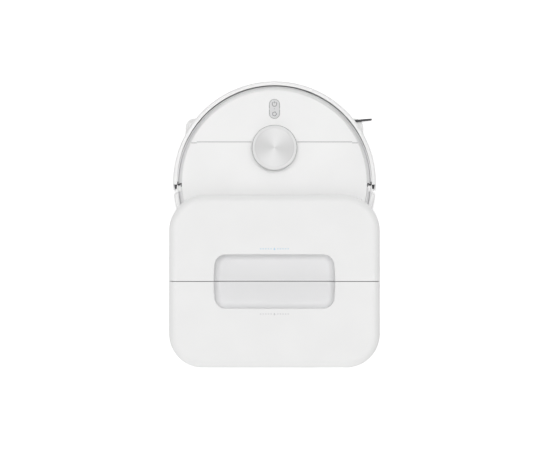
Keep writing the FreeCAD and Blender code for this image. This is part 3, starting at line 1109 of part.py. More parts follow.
def main_brush():
    """Brush housing with its tunnel and board posts; roller core on its axle; finned rubber sleeve."""
    x = BRUSH_HOUSING_LENGTH / 2
    half = BRUSH_HOUSING_DEPTH / 2
    r = ROLLER_RADIUS + BRUSH_TUNNEL_GAP
    inner = ROLLER_LENGTH / 2 + 1
    axle = x - BRUSH_TUNNEL_GAP
    house = box(-x, x, ROLLER_Y - half, ROLLER_Y + half, UNDERSIDE, BRUSH_HOUSING_TOP)
    along_x = lambda e: e.CenterOfMass.z > ROLLER_Z \
        and abs(e.Vertexes[0].Point.x - e.Vertexes[-1].Point.x) > 1e-6
    house = round_edges(house, BRUSH_HOUSING_ROUNDING, along_x)
    house = house.cut(roller_rod(r, inner))
    house = house.cut(box(-inner, inner, ROLLER_Y - r, ROLLER_Y + r, UNDERSIDE, ROLLER_Z))
    house = house.cut(roller_rod(ROLLER_AXLE_RADIUS + SHAFT_CLEARANCE, axle + FIT_GAP))
    post_x, post_y = ROBOT_BOARD_SIZE[0] / 2 - BOARD_POST_INSET, ROBOT_BOARD_SIZE[1] / 2 - BOARD_POST_INSET
    post_top = BRUSH_HOUSING_TOP + BOARD_POST_HEIGHT
    posts = [disc(BOARD_POST_RADIUS, BRUSH_HOUSING_TOP - 1, post_top, sx * post_x, ROLLER_Y + sy * post_y)
             for sx in (-1, 1) for sy in (-1, 1)]
    save("brush_housing", fuse(house, *posts))
    half_l = ROLLER_LENGTH / 2
    save("roller_core", fuse(roller_rod(ROLLER_CORE_RADIUS, half_l), roller_rod(ROLLER_AXLE_RADIUS, axle)))
    sleeve = roller_rod(ROLLER_CORE_RADIUS + SLEEVE_WALL, half_l)
    half_t = FIN_THICKNESS / 2
    fin = box(-half_l, half_l, ROLLER_Y - half_t, ROLLER_Y + half_t,
              ROLLER_Z + ROLLER_CORE_RADIUS, ROLLER_Z + ROLLER_RADIUS)
    for index in range(ROLLER_FINS):
        turned = fin.copy()
        turned.rotate(V(0, ROLLER_Y, ROLLER_Z), V(1, 0, 0), 360.0 * index / ROLLER_FINS)
        sleeve = sleeve.fuse(turned)
    save("roller_fins", sleeve.removeSplitter().cut(roller_rod(ROLLER_CORE_RADIUS, half_l + 1)))


def side_brush():
    """Side brush: a hub with three short arms on a shaft, and three bristle bundles."""
    x, y = SIDE_BRUSH_X, SIDE_BRUSH_Y
    hub_top = UNDERSIDE - 1
    root = BRISTLE_ROOT
    hub = disc(SIDE_BRUSH_HUB_RADIUS, BRISTLE_LIFT, hub_top, x, y)
    hub = hub.fuse(disc(SIDE_BRUSH_SHAFT_RADIUS, BRISTLE_LIFT, FLOOR_INSIDE + SIDE_BRUSH_SHAFT_REACH, x, y))
    bundles = []
    for index in range(SIDE_BRUSH_ARMS):
        angle = SIDE_BRUSH_ANGLE + 360.0 * index / SIDE_BRUSH_ARMS
        half = BRISTLE_WIDTH / 2
        top = BRISTLE_LIFT + BRISTLE_THICKNESS
        arm_half = half + HUB_ARM_WALL
        arm = box(x, x + root, y - arm_half, y + arm_half, BRISTLE_LIFT, top + HUB_ARM_WALL)
        bundle = box(x + root, x + SIDE_BRUSH_REACH, y - half, y + half, BRISTLE_LIFT, top)
        for piece in (arm, bundle):
            piece.rotate(V(x, y, 0), V(0, 0, 1), angle)
        hub = hub.fuse(arm)
        bundles.append(bundle)
    save("side_brush_hub", hub.removeSplitter())
    save("side_brush_bristles", *bundles)


def side_brush_motor():
    """The little motor over the side brush, with a blind bore for its shaft."""
    x, y = SIDE_BRUSH_X, SIDE_BRUSH_Y
    motor = disc(SIDE_BRUSH_MOTOR_RADIUS, FLOOR_INSIDE, FLOOR_INSIDE + SIDE_BRUSH_MOTOR_HEIGHT, x, y)
    bore_top = FLOOR_INSIDE + SIDE_BRUSH_SHAFT_REACH + 1
    return motor.cut(disc(SIDE_BRUSH_SHAFT_RADIUS + SHAFT_CLEARANCE, FLOOR_INSIDE, bore_top, x, y))


def arm_inner_x():
    return WHEEL_X - WHEEL_WIDTH / 2 - ARM_GAP - ARM_THICKNESS


def wheel_rod(radius, x0, x1):
    """A rod along the drive wheels' axis."""
    return rod(radius, (x0, ROBOT_Y, WHEEL_Z), (x1, ROBOT_Y, WHEEL_Z))


def drive_wheels():
    """Both sprung wheel arms with their motors, wheel hubs and grooved tyres."""
    for side, name in ((-1, "left"), (1, "right")):
        inner = side * arm_inner_x()
        outer = side * (arm_inner_x() + ARM_THICKNESS)
        half = ARM_HALF_HEIGHT
        a, b = sorted((inner, outer))
        arm = box(a, b, ARM_PIVOT_Y, ROBOT_Y, WHEEL_Z - half, WHEEL_Z + half)
        ends = [rod(half, (a, y, WHEEL_Z), (b, y, WHEEL_Z)) for y in (ARM_PIVOT_Y, ROBOT_Y)]
        x0, x1 = side * (WHEEL_X - WHEEL_WIDTH / 2), side * (WHEEL_X + WHEEL_WIDTH / 2)
        motor = wheel_rod(DRIVE_MOTOR_RADIUS, inner - side * DRIVE_MOTOR_LENGTH, inner)
        pin = rod(ARM_PIN_RADIUS, (inner - side * LUG_THICKNESS, ARM_PIVOT_Y, WHEEL_Z),
                  (outer, ARM_PIVOT_Y, WHEEL_Z))
        axle = wheel_rod(AXLE_RADIUS, inner, x1 - side * AXLE_END_GAP)
        save(name + "_arm", fuse(arm, *ends, motor, pin, axle))
        rim = WHEEL_RADIUS - TYRE_THICKNESS
        bore = wheel_rod(AXLE_RADIUS + SHAFT_CLEARANCE, x0, x1 - side * (AXLE_END_GAP - 1))
        dish = wheel_rod(rim - HUB_RIM, x1 - side * HUB_DISH, x1)
        save(name + "_wheel", wheel_rod(rim, x0, x1).cut(bore).cut(dish))
        tyre = wheel_rod(WHEEL_RADIUS, x0, x1).cut(wheel_rod(rim, x0, x1))
        c, d = sorted((x0, x1))
        half, tread = GROOVE_WIDTH / 2, WHEEL_Z + WHEEL_RADIUS
        groove = box(c, d, ROBOT_Y - half, ROBOT_Y + half, tread - GROOVE_DEPTH, tread + 1)
        for index in range(TYRE_GROOVES):
            turned = groove.copy()
            turned.rotate(V(0, ROBOT_Y, WHEEL_Z), V(1, 0, 0), 360.0 * (index + 0.5) / TYRE_GROOVES)
            tyre = tyre.cut(turned)
        save(name + "_tyre", tyre)


def caster():
    """Swivel caster ahead of the plate: fork with its stem and axle, and the wheel."""
    top = UNDERSIDE + CASTER_WELL_DEPTH - CASTER_GAP
    wheel_y = CASTER_Y + CASTER_TRAIL
    plate = disc(CASTER_WELL_RADIUS - CASTER_PLATE, top - CASTER_PLATE, top, 0, CASTER_Y)
    stem = disc(CASTER_STEM_RADIUS, top - 1, CHASSIS_TOP - CHEEK_THICKNESS, 0, CASTER_Y)
    inner = CASTER_WIDTH / 2 + CASTER_GAP
    outer = inner + CHEEK_THICKNESS
    cheeks = [box(min(s * inner, s * outer), max(s * inner, s * outer), wheel_y - CHEEK_REACH,
                  wheel_y + CHEEK_REACH, CASTER_Z - CHEEK_REACH + 1, top - 1) for s in (-1, 1)]
    axle = rod(CASTER_AXLE_RADIUS, (-outer, wheel_y, CASTER_Z), (outer, wheel_y, CASTER_Z))
    save("caster_fork", fuse(plate, stem, axle, *cheeks))
    half = CASTER_WIDTH / 2
    wheel = rod(CASTER_RADIUS, (-half, wheel_y, CASTER_Z), (half, wheel_y, CASTER_Z))
    wheel = round_edges(wheel, CASTER_ROUNDING, lambda e: e.Length > 3 * CASTER_RADIUS)
    bore = rod(CASTER_AXLE_RADIUS + SHAFT_CLEARANCE, (-half, wheel_y, CASTER_Z), (half, wheel_y, CASTER_Z))
    save("caster_wheel", wheel.cut(bore))


def mop_shaft_top():
    return MOP_PAD_BOTTOM + MOP_PAD_THICKNESS + MOP_HOLDER_THICKNESS + MOP_SHAFT_LENGTH


def mops():
    """Two spinning mops: a holder with its shaft, and a soft pad under it."""
    for side, name in ((-1, "left"), (1, "right")):
        x = side * MOP_SPACING / 2
        pad_top = MOP_PAD_BOTTOM + MOP_PAD_THICKNESS
        holder_top = pad_top + MOP_HOLDER_THICKNESS
        holder = disc(MOP_RADIUS - MOP_HOLDER_INSET, pad_top, holder_top, x, MOP_Y)
        holder = round_edges(holder, MOP_HOLDER_ROUNDING, lies_at(holder_top))
        shaft = disc(MOP_SHAFT_RADIUS, pad_top, mop_shaft_top(), x, MOP_Y)
        save(name + "_mop_holder", fuse(holder, shaft))
        pad = disc(MOP_RADIUS, MOP_PAD_BOTTOM, pad_top, x, MOP_Y)
        save(name + "_mop_pad", round_edges(pad, MOP_PAD_ROUNDING, lies_at(MOP_PAD_BOTTOM)))


def main():
    os.makedirs("parts", exist_ok=True)
    for build in (lids, tanks, tank_shelf, dock_housing, bag_door, garage, base_plate, dock_screws, blower,
                  pumps_and_pipes, electrics, chassis, upper_shell, button, covers, bumper, skirt, turret,
                  insides, robot_fan, main_brush, side_brush, drive_wheels, caster, mops):
        build()


main()
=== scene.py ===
# %% [markdown]
# # A robot vacuum parked in its base station
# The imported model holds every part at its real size, in metres, with +Z up and the robot facing -Y. This
# lesson dresses that model: it keeps each part whose shape is right and gives it a finish, and it models
# afresh what a machine drawing leaves plain, such as bristles, mop cloth, the dust bag and the signs on
# the button. Nothing is fitted afterwards, because places are measured from the model.

# %% load the frame
import json
import math
import random

import bmesh
import bpy
from mathutils import Matrix, Vector


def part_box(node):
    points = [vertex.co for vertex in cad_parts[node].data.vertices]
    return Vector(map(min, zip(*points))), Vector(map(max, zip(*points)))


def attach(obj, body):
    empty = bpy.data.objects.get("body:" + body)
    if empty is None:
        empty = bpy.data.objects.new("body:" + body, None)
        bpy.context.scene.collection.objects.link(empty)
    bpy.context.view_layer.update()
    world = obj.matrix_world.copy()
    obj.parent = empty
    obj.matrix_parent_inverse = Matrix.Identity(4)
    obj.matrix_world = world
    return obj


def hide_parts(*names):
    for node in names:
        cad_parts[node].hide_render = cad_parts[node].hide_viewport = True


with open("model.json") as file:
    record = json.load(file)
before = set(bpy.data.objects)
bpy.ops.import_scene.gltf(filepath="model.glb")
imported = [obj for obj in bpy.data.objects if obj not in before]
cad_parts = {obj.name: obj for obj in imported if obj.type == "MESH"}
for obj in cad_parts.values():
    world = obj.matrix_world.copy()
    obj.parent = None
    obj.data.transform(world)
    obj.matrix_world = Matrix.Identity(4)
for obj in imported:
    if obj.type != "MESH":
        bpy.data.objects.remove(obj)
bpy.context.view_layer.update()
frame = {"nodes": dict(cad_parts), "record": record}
NODES = frame["nodes"]

# %% [markdown]
# ## Places
# The robot is round, so the boxes of its bumper, turret, button and brushes give the centres that are
# needed. The boxes of the two lids give the seam between them and the top of the set.

# %% read the places
MM = 0.001


def middle(node):
    """The middle of a drawn part's box."""
    low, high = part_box(node)
    return (low + high) / 2


def low(node):
    """The corner of the box that lies right, front and down."""
    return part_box(node)[0]


def high(node):
    """The corner of the box that lies left, rear and up."""
    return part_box(node)[1]


ROBOT = Vector((0.0, low("bumper").y + (high("bumper").x - low("bumper").x) / 2, 0.0))
LIDS = [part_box("clean_lid"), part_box("dirty_lid")]
SEAM_Y = (LIDS[0][1].y + LIDS[1][0].y) / 2
TOP_Z = LIDS[0][1].z
print("robot centre", ROBOT, "seam", SEAM_Y, "top", TOP_Z)

# %% [markdown]
# ## Camera
# The set is looked at from straight above, with the robot at the top of the frame. A long lens far away
# gives the flat, calm drawing of a product sheet, and still shows that the tall station is nearer.

# %% set the camera
CAMERA_HEIGHT = 6.217
AHEAD_OF_SEAM, LEFT_OF_MIDDLE = 0.0908, -0.0009
LENS = 233.0
camera_data = bpy.data.cameras.new("camera")
camera_data.lens = LENS
camera_data.sensor_width = 36.0
camera_data.clip_end = 50.0
camera = bpy.data.objects.new("camera", camera_data)
camera.location = (LEFT_OF_MIDDLE, SEAM_Y - AHEAD_OF_SEAM, CAMERA_HEIGHT)
camera.rotation_euler = (0.0, 0.0, math.pi)
scene = bpy.context.scene
scene.collection.objects.link(camera)
scene.camera = camera
print("camera", tuple(round(v, 3) for v in camera.location))

# %% [markdown]
# ## Shader nodes in few words
# A finish is a small net of shader nodes. Each node is added, given its own choices, and fed with
# numbers, colours or the outputs of other nodes, so a helper that does the three at once keeps every
# recipe short.

# %% helpers for shader nodes


def feed(tree, node, inputs):
    """Sets each named or numbered input to a number or colour, or links an output to it."""
    for socket, value in inputs.items():
        if isinstance(value, bpy.types.NodeSocket):
            tree.links.new(value, node.inputs[socket])
        else:
            node.inputs[socket].default_value = value


def add_node(tree, kind, inputs=None, **choices):
    """Adds a shader node with its choices made and its inputs fed."""
    node = tree.nodes.new("ShaderNode" + kind)
    for key, value in choices.items():
        setattr(node, key, value)
    feed(tree, node, inputs or {})
    return node


def math_node(tree, operation, *values):
    """One Math node; each value is a number or an output to link."""
    return add_node(tree, "Math", dict(enumerate(values)), operation=operation).outputs[0]


def mix_colors(tree, factor, first, second, **choices):
    """The first colour where the factor is 0, the second where it is 1."""
    inputs = {"Factor": factor, "A": first, "B": second}
    return add_node(tree, "Mix", inputs, data_type="RGBA", **choices).outputs["Result"]


def object_place(tree):
    """The part's own coordinates."""
    return add_node(tree, "TexCoord").outputs["Object"]


def seen_directly(tree):
    """1 for what the camera, a mirror or glass looks at, 0 for light that reaches a matt surface."""
    rays = add_node(tree, "LightPath").outputs
    seen = math_node(tree, "MAXIMUM", rays["Is Camera Ray"], rays["Is Glossy Ray"])
    return math_node(tree, "MAXIMUM", seen, rays["Is Transmission Ray"])


def new_material(name):
    """An empty node material with its tree and its Principled shader."""
    material = bpy.data.materials.new(name)
    material.use_nodes = True
    return material, material.node_tree, material.node_tree.nodes["Principled BSDF"]


print("node helpers ready")

# %% [markdown]
# ## Light and floor
# White goods are best shown in a big soft tent. Here the world is the tent, two soft lamps on the robot's
# side give the edges their shading, and a low one opposite lifts the sides that face away. The floor is
# white because of its own colour, with a little light of its own that only the camera, mirrors and glass
# see, so the shadow stays on it. Its underside is see-through, so that the underside of the set can be
# looked at too.

# %% light the stage
TENT_LIGHT, TENT_SEEN = 0.40, 1.0
scene.view_settings.view_transform = "Standard"
scene.world = bpy.data.worlds.new("tent")
scene.world.use_nodes = True
tree = scene.world.node_tree
strength = add_node(tree, "MapRange", {"Value": seen_directly(tree), "To Min": TENT_LIGHT,
                                       "To Max": TENT_SEEN})
feed(tree, tree.nodes["Background"], {"Color": (1, 1, 1, 1), "Strength": strength.outputs["Result"]})


def add_sun(name, lean, turn, strength, spread):
    """A soft distant lamp: leant from the vertical, then turned about it; angles in degrees."""
    data = bpy.data.lights.new(name, "SUN")
    data.energy = strength
    data.angle = math.radians(spread)
    lamp = bpy.data.objects.new(name, data)
    lamp.rotation_euler = (math.radians(lean), 0, math.radians(turn))
    lamp.location = (0, 0, 3)
    scene.collection.objects.link(lamp)


add_sun("left_soft", 15, -42, 0.77, 30)
add_sun("right_soft", 15, 42, 0.77, 30)
add_sun("rear_low", 78, 168, 0.70, 20)

# %% lay the floor
FLOOR_SIDE, FLOOR_TONE, FLOOR_GLOW = 14.0, 0.93, 0.48
JUST_UNDER = -0.0002
bpy.ops.object.select_all(action="DESELECT")
bpy.ops.mesh.primitive_plane_add(size=FLOOR_SIDE, location=(0, 0, JUST_UNDER))
floor = bpy.context.object
floor.name = "floor"
floor_material, tree, shader = new_material("floor_white")
feed(tree, shader, {"Base Color": (FLOOR_TONE, FLOOR_TONE, FLOOR_TONE, 1), "Roughness": 0.9,
                    "Specular IOR Level": 0.0, "Emission Color": (1, 1, 1, 1),
                    "Emission Strength": math_node(tree, "MULTIPLY", seen_directly(tree), FLOOR_GLOW)})
back = add_node(tree, "NewGeometry").outputs["Backfacing"]
clear = add_node(tree, "BsdfTransparent").outputs[0]
either = add_node(tree, "MixShader", {"Fac": back, 1: shader.outputs[0], 2: clear})
feed(tree, tree.nodes["Material Output"], {"Surface": either.outputs[0]})
floor.data.materials.append(floor_material)
print("floor", tuple(floor.dimensions))

# %% [markdown]
# ## Finishes
# Moulded plastic is never quite even: the tool leaves a fine grain, the gloss drifts a little and the
# colour has a faint cloudiness. One node group makes all three from the part's own coordinates, so every
# plastic can share it with its own numbers. The shader itself stays in each material.

# %% a group for moulded surfaces
CLOUD_SCALE, CLOUD_TONE = 22.0, (0.25, 0.25, 0.26, 1)
MOULDED_INPUTS = {"Color": (0.8, 0.8, 0.8, 1), "Roughness": 0.4, "Grain Size": 0.0006, "Cloud": 0.02,
                  "Gloss Drift": 0.06}


def group_socket(group, label, direction):
    """A named socket: a colour if it is called Color, else a number."""
    kind = "NodeSocketColor" if label == "Color" else "NodeSocketFloat"
    return group.interface.new_socket(name=label, in_out=direction, socket_type=kind)


def make_moulded_group():
    """Colour, roughness and height of a moulded surface, from object coordinates."""
    group = bpy.data.node_groups.new("moulded_surface", "ShaderNodeTree")
    for label, value in MOULDED_INPUTS.items():
        group_socket(group, label, "INPUT").default_value = value
    for label in ("Color", "Roughness", "Height"):
        group_socket(group, label, "OUTPUT")
    given = group.nodes.new("NodeGroupInput").outputs
    place = object_place(group)
    cloud = add_node(group, "TexNoise", {"Vector": place, "Scale": CLOUD_SCALE, "Detail": 3.0}).outputs["Fac"]
    fineness = math_node(group, "DIVIDE", 1.0, given["Grain Size"])
    grain = add_node(group, "TexNoise", {"Vector": place, "Scale": fineness, "Detail": 2.0}).outputs["Fac"]
    spread = add_node(group, "MapRange", {"Value": cloud, "From Min": 0.35, "From Max": 0.65})
    spread = spread.outputs["Result"]
    darker = math_node(group, "MULTIPLY", spread, given["Cloud"])
    feed(group, group.nodes.new("NodeGroupOutput"), {
        "Color": mix_colors(group, darker, given["Color"], CLOUD_TONE),
        "Roughness": math_node(group, "MULTIPLY_ADD", spread, given["Gloss Drift"], given["Roughness"]),
        "Height": grain})
    return group


MOULDED = make_moulded_group()
print("group", MOULDED.name, [item.name for item in MOULDED.interface.items_tree])

# %% plain plastics from one recipe


def add_bump(tree, shader, height, depth):
    """Feeds a height to the shader's normal; depth is the real depth in metres."""
    bump = add_node(tree, "Bump", {"Height": height, "Distance": depth, "Strength": 1.0})
    feed(tree, shader, {"Normal": bump.outputs["Normal"]})


def plastic(name, color, roughness, grain, depth, cloud=0.02, drift=0.06, coat=0.0, specular=0.5):
    """A moulded plastic: the shared group, a bump of its own grain, and a plain shader."""
    material, tree, shader = new_material(name)
    surface = add_node(tree, "Group", node_tree=MOULDED)
    feed(tree, surface, {"Color": (*color, 1), "Roughness": roughness, "Grain Size": grain, "Cloud": cloud,
                         "Gloss Drift": drift})
    feed(tree, shader, {"Base Color": surface.outputs["Color"], "Roughness": surface.outputs["Roughness"],
                        "Coat Weight": coat, "Specular IOR Level": specular})
    add_bump(tree, shader, surface.outputs["Height"], depth)
    return material


# colour, roughness, grain size and depth in metres; then cloud, gloss drift and coat where they differ
PLASTICS = {
    "white_shell": ((0.845, 0.845, 0.842), 0.44, 0.0011, 0.000012, 0.012, 0.05, 0.15),
    "shell_white": ((0.845, 0.845, 0.842), 0.44, 0.0011, 0.000012, 0.012, 0.05, 0.15),
    "white_lid": ((0.87, 0.87, 0.867), 0.48, 0.0009, 0.00002, 0.012, 0.05),
    "turret_white": ((0.74, 0.74, 0.74), 0.42, 0.0011, 0.000012, 0.012, 0.05),
    "liner_white": ((0.74, 0.745, 0.75), 0.50, 0.0012, 0.00003, 0.03),
    "pad_white": ((0.92, 0.92, 0.915), 0.60, 0.0009, 0.00002, 0.01),
    "sign_grey": ((0.17, 0.17, 0.175), 0.45, 0.0006, 0.00001, 0.04),
    "mark_blue": ((0.52, 0.70, 0.84), 0.45, 0.0006, 0.000005, 0.04),
    "mark_grey": ((0.66, 0.66, 0.67), 0.45, 0.0006, 0.000005, 0.04),
    "fin_rubber": ((0.16, 0.17, 0.18), 0.62, 0.0008, 0.00003, 0.06),
    "seal_grey": ((0.30, 0.30, 0.305), 0.60, 0.0009, 0.00002, 0.03),
    "lip_grey": ((0.84, 0.84, 0.845), 0.70, 0.0009, 0.00002, 0.03),
    "inner_grey": ((0.40, 0.41, 0.42), 0.55, 0.0012, 0.00003, 0.05),
    "dark_plastic": ((0.035, 0.035, 0.038), 0.5, 0.0012, 0.00003, 0.04),
    "window_black": ((0.012, 0.012, 0.015), 0.08, 0.004, 0.000004, 0.0, 0.03, 0.6),
    "rubber_dark": ((0.045, 0.045, 0.048), 0.78, 0.0008, 0.00004, 0.06),
    "tyre_rubber": ((0.06, 0.06, 0.062), 0.72, 0.0007, 0.00005, 0.10),
    "button_grey": ((0.66, 0.66, 0.665), 0.34, 0.001, 0.00001, 0.01),
    "battery_blue": ((0.06, 0.13, 0.30), 0.30, 0.004, 0.00002, 0.05, 0.1),
    "bristle": ((0.11, 0.11, 0.115), 0.45, 0.0005, 0.00001, 0.10),
}
FINISH = {name: plastic(name, *values) for name, values in PLASTICS.items()}
print("plastics", sorted(FINISH))

# %% [markdown]
# ## Metal, glassy plastic, cloth and board
# Five finishes need their own nodes. The turret's inlay is turned on a lathe, so its scratches are rings, and
# the two bright fans that such rings show under lamps are painted into its colour as a painted highlight.
# Tank walls are milky and let light through. Mop cloth is a carpet of tiny loops, darker between the loops as
# painted shade, the bag is pressed fibre, and a circuit board shows copper under green lacquer.

# %% places measured from a centre


def place_from(tree, centre):
    """The three coordinates of a point, measured from a centre."""
    shift = add_node(tree, "Mapping", {"Vector": object_place(tree), "Location": -centre})
    return tuple(add_node(tree, "SeparateXYZ", {0: shift.outputs["Vector"]}).outputs)


def reach_of(tree, across, along):
    """How far a point lies from the centre's upright line."""
    squares = [math_node(tree, "POWER", side, 2.0) for side in (across, along)]
    return math_node(tree, "SQRT", math_node(tree, "ADD", *squares))


print("place helpers ready")

# %% turned metal
PAINTED_FAN_TURN = 9.0
RING_SCALE, RING_SHADE = 2600.0, 0.10


def turned_metal(name, centre, color, fan):
    """Aluminium turned in rings about a vertical axis; two bright fans are painted into its colour by angle
    as a painted highlight.
    """
    material, tree, shader = new_material(name)
    across, along, _ = place_from(tree, Vector((centre.x, centre.y, 0)))
    rings = add_node(tree, "TexNoise", noise_dimensions="1D")
    feed(tree, rings, {"W": reach_of(tree, across, along), "Scale": RING_SCALE, "Detail": 2.0})
    # painted highlight: the colour is brighter in two opposite fans and darker across them, by the angle
    # round the centre
    twice = math_node(tree, "MULTIPLY_ADD", math_node(tree, "ARCTAN2", across, along), 2.0,
                      -2.0 * math.radians(PAINTED_FAN_TURN))
    painted_fans = add_node(tree, "MapRange", {"Value": math_node(tree, "COSINE", twice), "From Min": -1.0})
    dim, bright = (*[c * (1 - fan) for c in color], 1), (*color, 1)
    tint = mix_colors(tree, painted_fans.outputs["Result"], dim, bright)
    fine = mix_colors(tree, RING_SHADE, tint, rings.outputs["Fac"], blend_type="MULTIPLY")
    feed(tree, shader, {"Base Color": fine, "Metallic": 0.15, "Roughness": 0.5})
    add_bump(tree, shader, rings.outputs["Fac"], 0.00001)
    return material


FINISH["brushed_metal"] = turned_metal("brushed_metal", middle("turret_inlay"), (0.724, 0.724, 0.724), 0.205)
print("inlay centre", tuple(round(v, 4) for v in middle("turret_inlay")))

# %% bright metals and see-through plastics


def metal(name, color, roughness, grain):
    """Plated or rolled metal with a fine, slightly uneven polish."""
    material = plastic(name, color, roughness, grain, 0.000004, 0.04, 0.12)
    material.node_tree.nodes["Principled BSDF"].inputs["Metallic"].default_value = 1.0
    return material


def milky(name, color, roughness, through):
    """A frosted see-through moulding: light passes, dimmed and blurred by the wall."""
    material = plastic(name, color, roughness, 0.004, 0.000001, 0.02)
    shader = material.node_tree.nodes["Principled BSDF"]
    feed(material.node_tree, shader, {"Transmission Weight": through, "IOR": 1.45})
    return material


FINISH["steel"] = metal("steel", (0.58, 0.58, 0.58), 0.32, 0.0009)
FINISH["contact_metal"] = metal("contact_metal", (0.80, 0.68, 0.42), 0.24, 0.0007)
FINISH["tank_clear"] = milky("tank_clear", (0.74, 0.80, 0.86), 0.38, 0.45)
FINISH["tank_grey"] = milky("tank_grey", (0.42, 0.44, 0.46), 0.40, 0.35)
FINISH["bin_smoke"] = milky("bin_smoke", (0.22, 0.23, 0.25), 0.30, 0.40)
print("metals and see-through plastics", len(FINISH) - len(PLASTICS) - 1)

# %% cloth, pressed fibre and circuit board


def shade_of(color, part=1.0):
    """A colour made darker or lighter, with its fourth value, and never above white."""
    return (*[min(1, c * part) for c in color], 1)


def looped_cloth(name, color, loop):
    """Microfibre: a field of small round loops that bump the surface; the colour is darker between the loops
    as painted shade.
    """
    material, tree, shader = new_material(name)
    loops = add_node(tree, "TexVoronoi", {"Vector": object_place(tree), "Scale": 1.0 / loop})
    loop_tips_and_shade = add_node(tree, "MapRange", {"Value": loops.outputs["Distance"], "From Max": 0.6, "To Min": 1.0,
                                       "To Max": 0.0})
    loop_tips_and_shade = loop_tips_and_shade.outputs["Result"]
    # painted shade: the colour falls to under half between the loops, and the same pattern raises the loops
    feed(tree, shader, {"Base Color": mix_colors(tree, loop_tips_and_shade, shade_of(color, 0.45), shade_of(color)),
                        "Roughness": 0.92, "Sheen Weight": 0.5, "Specular IOR Level": 0.15})
    add_bump(tree, shader, loop_tips_and_shade, loop * 0.6)
    return material


def pressed_fibre(name, color):
    """Non-woven bag cloth: short crossing fibres pressed into a soft sheet."""
    material, tree, shader = new_material(name)
    fibres = add_node(tree, "TexNoise", {"Vector": object_place(tree), "Scale": 900.0, "Detail": 5.0,
                                         "Distortion": 2.2}).outputs["Fac"]
    feed(tree, shader, {"Base Color": mix_colors(tree, fibres, shade_of(color, 0.72), shade_of(color)),
                        "Roughness": 0.95})
    add_bump(tree, shader, fibres, 0.0002)
    return material


def circuit_board(name, color):
    """Green lacquer with copper tracks that show as slightly lighter lines."""
    material, tree, shader = new_material(name)
    tracks = add_node(tree, "TexBrick", {"Vector": object_place(tree), "Scale": 90.0, "Mortar Size": 0.06,
                                         "Color1": shade_of(color), "Color2": shade_of(color, 0.8),
                                         "Mortar": shade_of(color, 2.2)}).outputs
    feed(tree, shader, {"Base Color": tracks["Color"], "Roughness": 0.3})
    add_bump(tree, shader, tracks["Fac"], 0.00005)
    return material


FINISH["mop_cloth"] = looped_cloth("mop_cloth", (0.50, 0.55, 0.62), 0.0022)
FINISH["bag_paper"] = pressed_fibre("bag_paper", (0.80, 0.78, 0.72))
FINISH["board_green"] = circuit_board("board_green", (0.03, 0.17, 0.08))
print("finishes", len(FINISH))

# %% [markdown]
# ## Tint and painted shade that belong to a place
# Two drawn parts change tone over their surface. The finger pocket's floor is tinted a shade greyer than
# the lid, and the shell's shoulder beside the bumper greys towards the sides as painted shade for the
# shadowed groove between body and bumper. A tint is laid over the plain plastic where a mask says so; the
# masks use the part's own coordinates.

# %% tint part of a plastic


def tint_where(material, color, mask):
    """Mixes a second colour into a plastic's own colour where the mask is 1."""
    tree = material.node_tree
    shader = tree.nodes["Principled BSDF"]
    own = shader.inputs["Base Color"].links[0].from_socket
    feed(tree, shader, {"Base Color": mix_colors(tree, mask, own, (*color, 1))})


def ramp(tree, value, start, end):
    """0 at start and 1 at end, smooth between."""
    inputs = {"Value": value, "From Min": start, "From Max": end}
    return add_node(tree, "MapRange", inputs, interpolation_type="SMOOTHSTEP").outputs["Result"]


print("tint helpers ready")

# %% greyer pocket floor
POCKET_HALF = Vector((100 * MM, 46 * MM, 0))
POCKET_DROP = 9 * MM
# The pocket's floor, below 2 mm deep, is tinted a shade greyer than the lid.
tree = FINISH["white_lid"].node_tree
across, along, above = place_from(tree, Vector((0, SEAM_Y, TOP_Z)))
inside_x = ramp(tree, math_node(tree, "ABSOLUTE", across), POCKET_HALF.x + MM, POCKET_HALF.x)
inside_y = ramp(tree, math_node(tree, "ABSOLUTE", along), POCKET_HALF.y + MM, POCKET_HALF.y)
deep = ramp(tree, above, -2 * MM, -POCKET_DROP)
pocket = math_node(tree, "MULTIPLY", math_node(tree, "MULTIPLY", inside_x, inside_y), deep)
tint_where(FINISH["white_lid"], (0.785, 0.785, 0.79), pocket)
print("pocket floor tinted below", round(TOP_Z - POCKET_DROP, 4))

# %% painted shade on the shoulder beside the bumper
BODY_R = high("robot_chassis").x
BODY = Vector((0, low("robot_chassis").y + BODY_R, 0))
DECK_Z = high("robot_shell").z
PAINTED_SHADE_START, PAINTED_SHADE_END = BODY_R - 6.8 * MM, BODY_R - 5.2 * MM
tree = FINISH["shell_white"].node_tree
across, along, above = place_from(tree, BODY)
reach = reach_of(tree, across, along)
# painted shade: the shell's colour greys on the shoulder towards the sides, standing for the shadow in the
# groove beside the bumper
beside = ramp(tree, math_node(tree, "ABSOLUTE", math_node(tree, "DIVIDE", across, reach)), 0.45, 0.85)
shoulder = math_node(tree, "MULTIPLY", ramp(tree, reach, PAINTED_SHADE_START, PAINTED_SHADE_END), beside)
tint_where(FINISH["shell_white"], (0.72, 0.72, 0.725), shoulder)
print("body radius", round(BODY_R, 4), "centre", tuple(round(v, 4) for v in BODY))

# %% [markdown]
# ## Finishes on the drawn parts
# Each drawn part already has its real shape. It only needs the finish of its material slot, so the
# model's own list of slots hands every part its finish.

# %% give every drawn part its finish
SLOT_OF = {entry["node"]: entry["material_slot"] for entry in frame["record"]["subparts"]}
OWN_FINISH = {"turret_cap": "turret_white", "turret_base": "shell_white", "garage_liner": "liner_white",
              "robot_shell": "shell_white"}
for node, part in NODES.items():
    part.data.materials.clear()
    part.data.materials.append(FINISH[OWN_FINISH.get(node, SLOT_OF[node])])
print("drawn parts with a finish", len(NODES))

